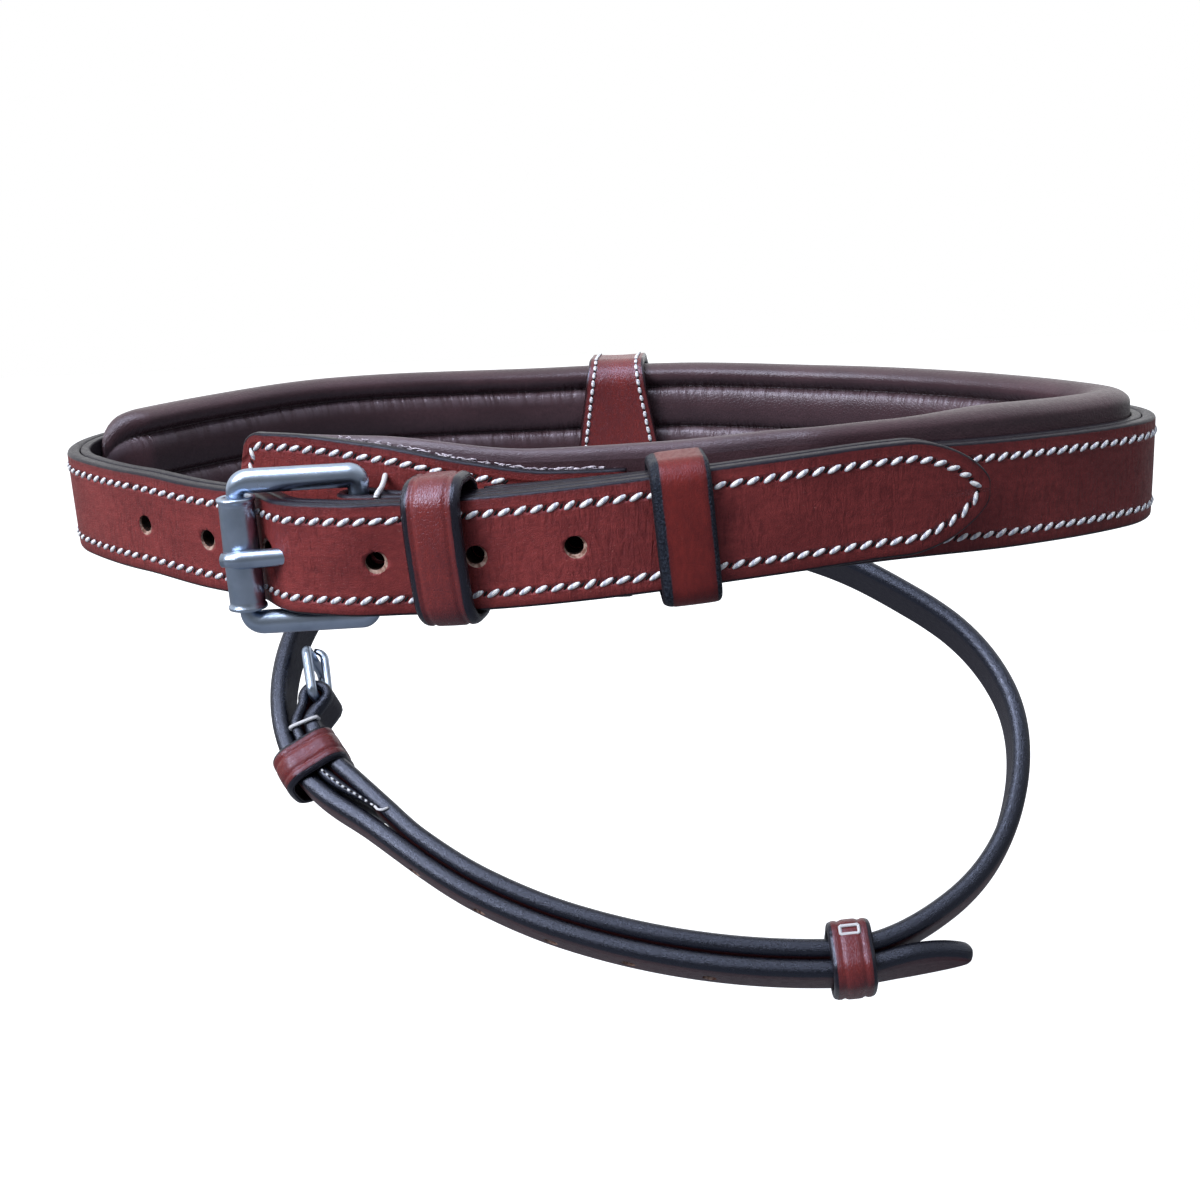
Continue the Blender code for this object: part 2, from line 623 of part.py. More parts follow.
def lining_middle(along):
    """Height of the middle of the lining, which rises to the left behind the guard."""
    on_strap = eased(along, [(GUARD_ALONG_END, 0.0), (LINING_FULL_ALONG, 1.0)])
    return eased(along, LINING_LIFTS) * (1 - on_strap) + strap_lift(along) * on_strap


def build_guard(ring, material):
    """Flat leather guard behind the buckle. Its free end has rounded corners and reaches further the lower it is."""
    corner = GUARD_ALONG_START + GUARD_CORNER * (1 - np.cos(np.linspace(0, math.pi / 2, 4)))
    along = merged(corner, ring.stations(GUARD_ALONG_START + GUARD_CORNER, GUARD_ALONG_END), closest=0.3 * MM)
    drop = GUARD_CORNER - np.sqrt(np.maximum(GUARD_CORNER**2 - np.maximum(corner[-1] - along, 0) ** 2, 0))
    half = GUARD_HEIGHT / 2 - drop
    middle = eased(along, GUARD_LIFTS)
    path = ring.at(along, GUARD_OUT - GUARD_THICKNESS / 2)
    mesh = strap_mesh("buckle_guard", path, GUARD_THICKNESS, middle - half, middle + half, GUARD_EDGE)
    free_end = Vector((*path[0], middle[0]))
    ahead = (Vector((*path[1], middle[0])) - free_end).normalized()
    for vertex in mesh.vertices:
        from_end = (vertex.co - free_end).dot(ahead)
        drop = (free_end.z + GUARD_HEIGHT / 2 - vertex.co.z) / (GUARD_HEIGHT / 2)
        share = min(max(drop, 0.0), 1.0) * max(1 - from_end / GUARD_SLANT_REACH, 0.0)
        vertex.co -= ahead * GUARD_END_SLANT * share
    add_part("buckle_guard", mesh, material)


# Half of the lining's section, from the sewn edge over the upper roll, its seam and the next roll to the
# middle seam, as (depth inwards, height) in millimetres: the full section, then the flat one behind the guard
LINING_FULL_OUTER = ((0, 7.5), (0, 12.4), (2.4, 15.8), (6.6, 16.2), (9.6, 13.8), (6.0, 10.4), (8.6, 7.9), (8.8, 3.2),
                     (6.0, 0.35))
LINING_FULL_INNER = ((1.2, 7.5), (1.2, 12.0), (2.9, 14.6), (6.2, 14.9), (8.3, 13.4), (4.6, 10.4), (7.4, 7.4),
                     (7.5, 3.6), (4.6, 0.35))
LINING_FLAT_OUTER = ((0, 7.5), (0, 13.1), (0.6, 14.0), (1.8, 14.0), (2.4, 13.1), (2.4, 10.4), (2.4, 7.9), (2.4, 3.2),
                     (2.4, 0.35))
LINING_FLAT_INNER = ((0.9, 7.5), (0.9, 12.2), (1.0, 13.0), (1.4, 13.0), (1.5, 12.2), (1.5, 10.4), (1.5, 7.4),
                     (1.5, 3.6), (1.5, 0.35))
PAD_OUTSIDE = ((1.6, 11.0), (1.6, 11.7), (3.2, 14.1), (6.0, 14.4), (7.5, 13.3), (4.5, 11.0))
PAD_INSIDE = ((0.3, 0.5), (0.3, 7.0), (1.6, 7.2), (1.6, 9.9), (4.3, 9.9), (6.9, 7.2), (7.1, 3.8), (4.2, 0.5))


def lining_back(along, ring):
    """Outer side of the lining: behind the guard, behind the running keeper's way, then on the backing."""
    behind_guard = GUARD_OUT - GUARD_THICKNESS - 1.5 * GAP
    on_backing = -STRAP_THICKNESS - GAP
    return eased(along, [(LINING_ALONG_START, behind_guard), (GUARD_ALONG_END, behind_guard),
                         (LINING_STEP_ALONG, GUARD_OUT), (LINING_FULL_ALONG, on_backing), (ring.length, on_backing)])


def lining_end(ring):
    """Length at which the lining ends, on a section of the ring so that it follows the strap."""
    return float(ring.grid[np.argmin(abs(ring.grid - ring.length / 2 - LINING_END_FROM_BACK))])


def lining_fullness(along, ring):
    """How far the lining is padded out: flat behind the guard and at its far end."""
    end = lining_end(ring)
    return eased(along, [*LINING_FULLNESS, (end - LINING_END_LENGTH, 1.0), (end, LINING_END_FULLNESS)])


def mirrored(half_profile):
    """Whole section from its upper half, in metres."""
    upper = np.array(half_profile) * MM
    return np.concatenate([upper, upper[::-1] * (1, -1)])


def build_lining(ring, material):
    """Lining leather: an open-backed skin with two soft rolls and a channel between its seams."""
    along = ring.stations(LINING_ALONG_START, lining_end(ring))
    fullness = lining_fullness(along, ring)[:, None, None]
    outer = mirrored(LINING_FULL_OUTER) * fullness + mirrored(LINING_FLAT_OUTER) * (1 - fullness)
    inner = mirrored(LINING_FULL_INNER) * fullness + mirrored(LINING_FLAT_INNER) * (1 - fullness)
    section = np.concatenate([outer, inner[:, ::-1]], axis=1)
    back = lining_back(along, ring)
    middle = lining_middle(along)
    rows, columns = section.shape[:2]
    plan = ring.at(np.repeat(along, columns), (back[:, None] - section[:, :, 0]).ravel())
    points = np.column_stack([plan, (middle[:, None] + section[:, :, 1]).ravel()])
    faces = []
    for row in range(rows - 1):
        for column in range(columns):
            beyond = (column + 1) % columns
            faces.append((row * columns + column, row * columns + beyond,
                          (row + 1) * columns + beyond, (row + 1) * columns + column))
    half = columns // 2
    for row in (0, rows - 1):
        for column in range(half - 1):
            across = columns - 1 - column
            faces.append(tuple(row * columns + place for place in (column, column + 1, across - 1, across)))
    add_part("nose_lining", new_mesh("nose_lining", points, faces), material)


def build_pad(name, ring, profile, material):
    """Foam strip inside the lining, thinner where the lining thins."""
    along = ring.stations(LINING_SWELL_ALONG, lining_end(ring))
    along = along[lining_fullness(along, ring) > 0.999]
    middle = lining_middle(along)
    section = np.array(profile) * MM
    back = lining_back(along, ring)
    columns = len(section)
    plan = ring.at(np.repeat(along, columns), (back[:, None] - section[None, :, 0]).ravel())
    points = np.column_stack([plan, (middle[:, None] + section[None, :, 1]).ravel()])
    faces = [tuple(range(columns)), tuple(range(len(points) - columns, len(points)))]
    for row in range(len(along) - 1):
        for column in range(columns):
            beyond = (column + 1) % columns
            faces.append((row * columns + column, row * columns + beyond,
                          (row + 1) * columns + beyond, (row + 1) * columns + column))
    add_part(name, new_mesh(name, points, faces), material)


def build_flash_tab(ring, swing, material):
    """Leather band round the strap and lining at the middle of the back. The flash strap runs through its foot."""
    deepest = max(depth for depth, height in LINING_FULL_OUTER) * MM
    top = max(height for depth, height in LINING_FULL_OUTER) * MM + GAP
    back = -STRAP_THICKNESS - GAP - deepest - TAB_SLACK
    swept = math.hypot(FLASH_WIDTH, FLASH_THICKNESS) / 2 + TAB_SWING_ROOM
    half = TAB_THICKNESS / 2
    loop = rounded_loop(back - half, GAP + half, swing.translation.z - swept - half, top + half, TAB_CORNER, 5)
    sides = np.linspace(0.0, 1.0, 6)[1:-1, None]
    breaks = [0, len(loop) // 4, len(loop) // 2, 3 * len(loop) // 4, len(loop)]
    quarters = [loop[first:last] for first, last in zip(breaks, breaks[1:])]
    path = []
    for number, quarter in enumerate(quarters):
        following = quarters[(number + 1) % 4][0]
        path.append(quarter)
        if number % 2 == 0:
            path.append(quarter[-1] + (following - quarter[-1]) * sides)
    loop = np.concatenate(path)
    width = np.interp(loop[:, 1], [TAB_FULL_WIDTH_Z, top], [TAB_WIDTH, TAB_TOP_WIDTH])
    mesh = strap_mesh("flash_tab", loop, TAB_THICKNESS, -width / 2, width / 2, LOOP_EDGE, closed=True)
    add_part("flash_tab", mesh, material, ring.frame(ring.length / 2, 0))


def flash_billet_middle(along):
    """Middle of the flash strap's outer run, out of the hoop's plan. Its tip stands away."""
    low = -FLASH_THICKNESS / 2
    leaving = np.maximum(along - FLASH_TIP_LEAVES, 0) / (FLASH_TIP_ALONG - FLASH_TIP_LEAVES)
    return eased(along, [(FLASH_BILLET_LEAVES, low), (FLASH_BILLET_JOINS, FLASH_BILLET), (0.0, FLASH_BILLET)]) \
        + FLASH_TIP_LIFT * leaving**2.5


def build_flash_strap(hoop, hoop_to_world, swing, material):
    """Flash strap: folded round its heel bar, once round the hoop through the tab, and on to the tip."""
    fold_radius = FLASH_BAR_RADIUS + FOLD_CLEARANCE + FLASH_FOLD_THICKNESS / 2
    low = -FLASH_THICKNESS / 2
    turn_back = np.linspace(FLASH_TURN_BACK_ALONG, FLASH_HEEL_ALONG, 8)
    turn_back_out = eased(turn_back, [(FLASH_HEEL_ALONG, FLASH_HEEL_OUT + fold_radius),
                                      (FLASH_CLOSED_ALONG, FLASH_TURN_BACK_OUT), (0.0, FLASH_TURN_BACK_OUT)])
    fold = fold_path(hoop, FLASH_HEEL_ALONG, FLASH_HEEL_OUT, fold_radius, True)
    under = np.concatenate([np.linspace(FLASH_HEEL_ALONG, FLASH_CLOSED_ALONG, 6)[:-1],
                            hoop.stations(FLASH_CLOSED_ALONG, hoop.length + FLASH_BILLET_LEAVES)])
    under_out = eased(under, [(FLASH_HEEL_ALONG, FLASH_HEEL_OUT - fold_radius), (FLASH_CLOSED_ALONG, FLASH_UNDER_OUT),
                              (FLASH_TURN_BACK_ALONG, FLASH_UNDER_OUT), (FLASH_SINGLE_ALONG, low), (hoop.length, low)])
    billet = merged(hoop.stations(FLASH_BILLET_LEAVES, FLASH_TIP_ALONG - FLASH_TIP_LENGTH),
                    tip_stations(FLASH_TIP_ALONG, FLASH_TIP_LENGTH, 6))
    path = np.concatenate([hoop.at(turn_back, turn_back_out), fold, hoop.at(under, under_out),
                           hoop.at(billet, flash_billet_middle(billet))[1:]])
    folded = len(turn_back) + len(fold)
    thickness = np.full(len(path), FLASH_THICKNESS)
    thickness[:folded] = FLASH_FOLD_THICKNESS
    thickness[folded : folded + len(under)] = eased(under, [(FLASH_HEEL_ALONG, FLASH_FOLD_THICKNESS),
                                                            (FLASH_CLOSED_ALONG, FLASH_THICKNESS), (hoop.length, FLASH_THICKNESS)])
    half = np.full(len(path), FLASH_WIDTH / 2)
    half[-len(billet) + 1 :] = point_ends(billet, FLASH_TIP_ALONG, FLASH_TIP_LENGTH, FLASH_WIDTH / 2, 0.3)[1:]
    mesh = strap_mesh("flash_strap", path, thickness, -half, half, FLASH_EDGE)
    strap = add_part("flash_strap", mesh, material, hoop_to_world, swing)
    holes = [FLASH_HOLE_FIRST + FLASH_HOLE_PITCH * number for number in range(FLASH_HOLE_COUNT)]
    frames = [hoop.frame(along, float(flash_billet_middle(along))) for along in holes]
    punch = punch_mesh("flash_punch", frames, FLASH_HOLE_DIAMETER, FLASH_THICKNESS + GAP)
    cut_away(strap, add_cutter("flash_punch", punch, hoop_to_world))
    return strap


def clear_scene():
    """Remove every object that is in the file."""
    for thing in list(bpy.data.objects):
        bpy.data.objects.remove(thing, do_unlink=True)


clear_scene()
parts = bpy.data.collections.new("flash_noseband")
cutters = bpy.data.collections.new("cutters")
bpy.context.scene.collection.children.link(parts)
bpy.context.scene.collection.children.link(cutters)

chestnut = leather("chestnut_leather", "6B2C28", 0.42)
flesh = leather("flesh_side_leather", "2A2426", 0.75)
plum = leather("lining_leather", "4A363B", 0.55)
foam = leather("padding_foam", "B8AE94", 0.9)
steel = leather("satin_steel", "8A9AAB", 0.32, 1.0)

ring = Oval(RING_FRONT_RADIUS, RING_BACK_RADIUS, RING_CORNER_RADIUS, RING_DEPTH, RING_STEP, RING_TURN_STEP)
hoop = Oval(HOOP_FRONT_RADIUS, HOOP_BACK_RADIUS, HOOP_CORNER_RADIUS, HOOP_DEPTH, HOOP_STEP, HOOP_TURN_STEP)

# The hoop's plane leans forward and down from the foot of the tab, and its back arc crosses the tab there
hoop_turn = Matrix.Rotation(HOOP_TURN, 4, "Z")
back_centre = hoop_turn @ Vector((0, HOOP_DEPTH / 2 - HOOP_BACK_RADIUS, 0)) + Vector((HOOP_SIDE_SHIFT, 0, 0))
crossing_height = back_centre.y + math.sqrt((HOOP_BACK_RADIUS - FLASH_THICKNESS / 2) ** 2 - back_centre.x**2)
hoop_in_plane = Matrix.Translation((HOOP_SIDE_SHIFT, -crossing_height, 0)) @ hoop_turn
lining_foot = -max(height for depth, height in LINING_FULL_OUTER) * MM
swing_point = Vector((0, RING_DEPTH / 2 - FLASH_INSET,
                      lining_foot - math.hypot(FLASH_WIDTH, FLASH_THICKNESS) / 2 - TAB_SWING_ROOM + 2 * GAP))
lean_axes = axes_matrix(swing_point, Vector((1, 0, 0)), Vector((0, math.cos(HOOP_LEAN), math.sin(HOOP_LEAN))),
                        Vector((0, -math.sin(HOOP_LEAN), math.cos(HOOP_LEAN))))
hoop_to_world = lean_axes @ hoop_in_plane
swing = Matrix.Translation(swing_point)

nose_strap, strap_backing = build_nose_strap(ring, chestnut, flesh)
main_buckle, main_reach = buckle_axes(ring.at(HEEL_ALONG, HEEL_OUT), ring.at(ROLLER_ALONG, ROLLER_OUT), 1)
main_buckle.translation.z = strap_lift(HEEL_ALONG)
main_sizes = {"bar": HEEL_BAR_RADIUS, "end_bar": END_BAR_RADIUS, "corner": FRAME_CORNER_RADIUS,
              "eye": TONGUE_EYE_RADIUS, "tongue": TONGUE_RADIUS, "tip": TONGUE_TIP_RADIUS,
              "rest": ROLLER_RADIUS, "overhang": TONGUE_OVERHANG, "fold": SKIVED_THICKNESS}
shank = build_buckle("buckle", main_buckle, main_reach, main_sizes, HALF_STRAP + FRAME_SIDE_PLAY, steel, nose_strap)
sweep_mesh = tongue_sweep_mesh("tongue_sweep", *shank, TONGUE_RADIUS + 1.5 * GAP)
tongue_sweep = add_cutter("tongue_sweep", sweep_mesh, main_buckle)
for layer in (nose_strap, strap_backing):
    cut_away(layer, tongue_sweep)
build_roller(main_buckle, main_reach, steel)

keeper_top = HALF_STRAP + KEEPER_SIDE_SLACK
fixed_front = float(billet_out(FIXED_KEEPER_ALONG - KEEPER_WIDTH / 2)) + GAP
add_keeper("fixed_keeper", ring.frame(FIXED_KEEPER_ALONG, 0, *keeper_height_and_slope(FIXED_KEEPER_ALONG)), (KEEPER_BACK, fixed_front, -keeper_top, keeper_top),
           KEEPER_THICKNESS, KEEPER_WIDTH, KEEPER_CORNER, chestnut)
running_height, running_slope = keeper_height_and_slope(RUNNING_KEEPER_ALONG)
running_top = keeper_top + abs(float(billet_lift(RUNNING_KEEPER_ALONG) - strap_lift(RUNNING_KEEPER_ALONG))) / 2
add_keeper("running_keeper", ring.frame(RUNNING_KEEPER_ALONG, 0, running_height, running_slope),
           (KEEPER_BACK, BILLET_OUT + KEEPER_SLACK, -running_top, running_top),
           KEEPER_THICKNESS, KEEPER_WIDTH, KEEPER_CORNER, chestnut, Matrix.Translation(ring.front_centre))

build_guard(ring, chestnut)
build_lining(ring, plum)
for place, profile, side in (("top", PAD_OUTSIDE, 1), ("upper", PAD_INSIDE, 1), ("lower", PAD_INSIDE, -1),
                             ("bottom", PAD_OUTSIDE, -1)):
    build_pad(f"lining_pad_{place}", ring, [(depth, side * height) for depth, height in profile], foam)

build_flash_tab(ring, swing, chestnut)
flash_strap = build_flash_strap(hoop, hoop_to_world, swing, chestnut)
flash_buckle, flash_reach = buckle_axes(hoop.at(FLASH_HEEL_ALONG, FLASH_HEEL_OUT),
                                        hoop.at(FLASH_END_ALONG, FLASH_END_OUT), -1)
flash_sizes = {"bar": FLASH_BAR_RADIUS, "end_bar": FLASH_BAR_RADIUS, "corner": FLASH_FRAME_CORNER,
               "eye": FLASH_EYE_RADIUS, "tongue": FLASH_TONGUE_RADIUS, "tip": FLASH_TONGUE_TIP,
               "rest": FLASH_BAR_RADIUS, "overhang": FLASH_TONGUE_OVERHANG, "fold": FLASH_FOLD_THICKNESS}
build_buckle("flash_buckle", hoop_to_world @ flash_buckle, flash_reach, flash_sizes, FLASH_WIDTH / 2 + 1.5 * GAP,
             steel, flash_strap)

flash_side = FLASH_WIDTH / 2 + KEEPER_SIDE_SLACK
flash_under = FLASH_UNDER_OUT - FLASH_THICKNESS / 2 - FLASH_KEEPER_SLACK
add_keeper("flash_fixed_keeper", hoop_to_world @ hoop.frame(FLASH_FIXED_KEEPER_ALONG, 0),
           (flash_under, FLASH_KEEPER_FRONT, -flash_side, flash_side),
           FLASH_KEEPER_THICKNESS, FLASH_KEEPER_WIDTH, FLASH_KEEPER_CORNER, chestnut, swing)
add_keeper("flash_running_keeper", hoop_to_world @ hoop.frame(FLASH_RUNNING_KEEPER_ALONG, 0),
           (-FLASH_THICKNESS - FLASH_KEEPER_SLACK, FLASH_KEEPER_FRONT, -flash_side, flash_side),
           FLASH_KEEPER_THICKNESS, FLASH_KEEPER_WIDTH, FLASH_KEEPER_CORNER, chestnut,
           hoop_to_world @ Matrix.Translation(hoop.front_centre))
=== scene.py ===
"""Looks of a flash noseband: bridle leather with painted edges and white saddle stitching, a padded lining,
satin steel buckles and a rounded flash strap that hangs as a hoop. Metres, the same frame as the CAD."""
import logging
import math
from dataclasses import dataclass, field
from enum import Enum
from typing import Sequence

import bpy
import numpy as np
from mathutils import Matrix


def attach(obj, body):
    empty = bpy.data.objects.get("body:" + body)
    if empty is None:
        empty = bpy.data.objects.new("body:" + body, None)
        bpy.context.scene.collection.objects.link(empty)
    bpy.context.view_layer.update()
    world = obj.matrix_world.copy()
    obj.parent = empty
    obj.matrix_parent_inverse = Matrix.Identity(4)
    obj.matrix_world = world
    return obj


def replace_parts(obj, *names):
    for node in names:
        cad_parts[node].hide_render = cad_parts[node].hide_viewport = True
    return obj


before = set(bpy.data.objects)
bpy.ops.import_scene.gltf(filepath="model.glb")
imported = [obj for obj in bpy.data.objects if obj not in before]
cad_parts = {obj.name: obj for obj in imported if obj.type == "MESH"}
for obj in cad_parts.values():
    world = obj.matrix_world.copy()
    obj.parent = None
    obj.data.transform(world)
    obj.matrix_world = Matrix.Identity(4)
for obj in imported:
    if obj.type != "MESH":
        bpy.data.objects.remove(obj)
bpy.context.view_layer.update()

log = logging.getLogger("noseband")
MM = 0.001
UV_NAME = "along_across"
RIM_UP = -0.16  # how far the pale rim of a hole is shifted up, in half heights: down, to where its raw wall shows lit
Knots = Sequence[tuple[float, float]]


# ---------------------------------------------------------------- numbers


def millimetres(knots: Knots) -> list[tuple[float, float]]:
    """The knots in metres."""
    return [(place * MM, value * MM) for place, value in knots]


def eased(along: np.ndarray, knots: Knots) -> np.ndarray:
    """Smooth curve through knots that never overshoots them and is level at both ends.

    Between two knots the value is a + (b - a)(3t^2 - 2t^3) plus a bend from the harmonic mean of the slopes.

    Args:
        along: places at which the value is wanted.
        knots: (place, value) pairs in rising order.

    Returns:
        The values, of the same shape as along.
    """
    along = np.asarray(along, dtype=float)
    places, values = (np.array(column, dtype=float) for column in zip(*knots))
    widths = np.diff(places)
    rates = np.diff(values) / widths
    slopes = np.zeros(len(places))
    product = rates[:-1] * rates[1:]
    same_way = product > 0
    slopes[1:-1][same_way] = 2 * product[same_way] / (rates[:-1] + rates[1:])[same_way]
    index = np.clip(np.searchsorted(places, along) - 1, 0, len(places) - 2)
    share = np.clip((along - places[index]) / widths[index], 0, 1)
    smooth = share * share * (3 - 2 * share)
    bend = share * (1 - share) * widths[index] * (slopes[index] * (1 - share) - slopes[index + 1] * share)
    return values[index] + (values[index + 1] - values[index]) * smooth + bend


def spline(points: Sequence[tuple[float, float]], count: int) -> np.ndarray:
    """Catmull-Rom curve through points, with count places between each two.

    Args:
        points: corners that the curve passes through.
        count: steps between two of them.

    Returns:
        Array of places, the last point included.
    """
    knots = np.array(points, dtype=float)
    padded = np.concatenate([2 * knots[:1] - knots[1:2], knots, 2 * knots[-1:] - knots[-2:-1]])
    t = np.linspace(0, 1, count, endpoint=False)[None, :, None]
    p0, p1, p2, p3 = (padded[shift : len(padded) - 3 + shift, None, :] for shift in range(4))
    curve = 0.5 * (2 * p1 + (p2 - p0) * t + (2 * p0 - 5 * p1 + 4 * p2 - p3) * t**2 + (3 * p1 - p0 - 3 * p2 + p3) * t**3)
    return np.concatenate([curve.reshape(-1, knots.shape[1]), knots[-1:]])


def unit(vectors: np.ndarray) -> np.ndarray:
    """The vectors at length 1."""
    return vectors / np.linalg.norm(vectors, axis=-1, keepdims=True)


def travelled(points: np.ndarray) -> np.ndarray:
    """Length along a polyline at each of its points."""
    return np.concatenate([[0.0], np.cumsum(np.linalg.norm(np.diff(points, axis=0), axis=1))])


def soft_noise(place: np.ndarray, wave: float, seed: int) -> np.ndarray:
    """Smooth random curve of one variable between -1 and 1, with one random value for each wave length."""
    values = np.random.default_rng(seed).uniform(-1, 1, 4096)
    steps = place / wave
    index = np.floor(steps).astype(int)
    share = steps - index
    share = share * share * (3 - 2 * share)
    return values[index % 4096] * (1 - share) + values[(index + 1) % 4096] * share


def placement(x: Sequence[float], y: Sequence[float], z: Sequence[float], at: Sequence[float]) -> np.ndarray:
    """4x4 placement from its axes and its place."""
    place = np.eye(4)
    place[:3] = np.column_stack([x, y, z, at])
    return place


@dataclass
class Oval:
    """Closed plan of four tangent arcs, alike left and right. A place on it is its length from the middle of
    the front arc, growing counter-clockwise, and its distance out of the plan."""

    front_radius: float
    back_radius: float
    corner_radius: float
    depth: float

    def __post_init__(self) -> None:
        """Work out the arcs: the corner's centre lies where its distances to both other centres fit."""
        front_y = self.front_radius - self.depth / 2
        back_y = self.depth / 2 - self.back_radius
        front_reach = self.front_radius - self.corner_radius
        back_reach = self.back_radius - self.corner_radius
        corner_y = (back_reach**2 - front_reach**2 - back_y**2 + front_y**2) / (2 * (front_y - back_y))
        corner_x = math.sqrt(front_reach**2 - (corner_y - front_y) ** 2)
        front_half = math.atan2(corner_x, front_y - corner_y)
        back_half = math.atan2(corner_x, corner_y - back_y)
        turn = math.pi - front_half - back_half
        down = -math.pi / 2
        arcs = [(0.0, front_y, self.front_radius, down, front_half),
                (corner_x, corner_y, self.corner_radius, down + front_half, turn),
                (0.0, back_y, self.back_radius, -down - back_half, 2 * back_half),
                (-corner_x, corner_y, self.corner_radius, -down + back_half, turn),
                (0.0, front_y, self.front_radius, down - front_half, front_half)]
        self.x, self.y, self.radius, self.angle, self.turn = (np.array(column) for column in zip(*arcs))
        self.ends = np.cumsum(self.radius * self.turn)
        self.starts = self.ends - self.radius * self.turn
        self.length = float(self.ends[-1])

    def at(self, along: np.ndarray, out: np.ndarray | float) -> np.ndarray:
        """Points (x, y) at lengths along the plan and distances out of it."""
        wrapped = np.mod(along, self.length)
        arc = np.clip(np.searchsorted(self.ends, wrapped), 0, 4)
        angle = self.angle[arc] + (wrapped - self.starts[arc]) / self.radius[arc]
        reach = self.radius[arc] + out
        return np.stack([self.x[arc] + reach * np.cos(angle), self.y[arc] + reach * np.sin(angle)], axis=-1)

    def point(self, along: float, out: float = 0.0) -> np.ndarray:
        """The point (x, y) at one place."""
        return self.at(np.array([along]), out)[0]

    def outward(self, along: float) -> np.ndarray:
        """Direction out of the plan at one place, as (x, y, 0)."""
        return np.array([*(self.point(along, 1.0) - self.point(along)), 0.0])

    def axes(self, along: float, height: float = 0.0, slope: float = 0.0) -> np.ndarray:
        """4x4 placement: X out of the plan, Y up and Z back along it, tipped by a slope along it."""
        outward = self.outward(along)
        back = unit(np.cross(outward, (0, 0, 1)) - np.array([0, 0, slope]))
        return placement(outward, np.cross(back, outward), back, (*self.point(along), height))


def moved(place: np.ndarray, points: np.ndarray) -> np.ndarray:
    """Points taken through a 4x4 placement."""
    return points @ place[:3, :3].T + place[:3, 3]


# ---------------------------------------------------------------- meshes


def grid_mesh(name: str, points: np.ndarray, u: np.ndarray, v: np.ndarray, loop_rows: bool,
              cap_v: float) -> bpy.types.Mesh:
    """Tube from a grid of rows round a path, with a UV map in metres.

    Args:
        name: name of the mesh.
        points: (rows, columns, 3) grid; the columns close on themselves.
        u: (rows,) or (rows + 1,) first UV coordinate.
        v: (rows, columns + 1) second UV coordinate.
        loop_rows: whether the last row meets the first.
        cap_v: second UV coordinate of the end faces.

    Returns:
        The mesh, closed, with its faces outwards.
    """
    rows, columns = points.shape[:2]
    row = np.arange(rows if loop_rows else rows - 1)
    after = (row + 1) % rows
    column = np.arange(columns)
    beyond = (column + 1) % columns
    quads = np.stack([row[:, None] * columns + column, row[:, None] * columns + beyond,
                      after[:, None] * columns + beyond, after[:, None] * columns + column], axis=-1).reshape(-1, 4)
    u = np.append(u, u[-1]) if len(u) == rows else u
    corner_u = np.stack([u[row], u[row], u[row + 1], u[row + 1]], axis=-1)[:, None, :].repeat(columns, axis=1)
    corner_v = np.stack([v[row][:, :-1], v[row][:, 1:], v[after][:, 1:], v[after][:, :-1]], axis=-1)
    faces = quads.tolist()
    uv = [np.stack([corner_u, corner_v], axis=-1).reshape(-1, 2)]
    if not loop_rows:
        for end in (0, rows - 1):
            faces.append((end * columns + column).tolist())
            uv.append(np.column_stack([np.full(columns, u[end]), np.full(columns, cap_v)]))
    mesh = bpy.data.meshes.new(name)
    mesh.from_pydata(points.reshape(-1, 3), [], faces)
    if not loop_rows:
        mesh.polygons[-2].flip()
        uv[-2] = uv[-2][::-1]
    mesh.uv_layers.new(name=UV_NAME).data.foreach_set("uv", np.concatenate(uv).ravel())
    return faced_out(mesh)


def faced_out(mesh: bpy.types.Mesh) -> bpy.types.Mesh:
    """Flip a closed mesh whose signed volume is negative, and shade it smooth."""
    mesh.calc_loop_triangles()
    corners = np.empty(len(mesh.vertices) * 3)
    mesh.vertices.foreach_get("co", corners)
    corners = corners.reshape(-1, 3)
    corners = corners - corners.mean(axis=0)
    triangles = np.empty(len(mesh.loop_triangles) * 3, dtype=int)
    mesh.loop_triangles.foreach_get("vertices", triangles)
    a, b, c = (corners[triangles.reshape(-1, 3)[:, side]] for side in range(3))
    if np.einsum("ij,ij->i", a, np.cross(b, c)).sum() < 0:
        mesh.flip_normals()
    mesh.shade_smooth()
    return mesh


def add_piece(mesh: bpy.types.Mesh, body: str, *materials: bpy.types.Material) -> bpy.types.Object:
    """Object at the origin that rides on a body."""
    for material in materials:
        mesh.materials.append(material)
    piece = bpy.data.objects.new(mesh.name, mesh)
    bpy.context.scene.collection.objects.link(piece)
    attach(piece, body)
    log.info("%s: %d faces on %s", mesh.name, len(mesh.polygons), body)
    return piece


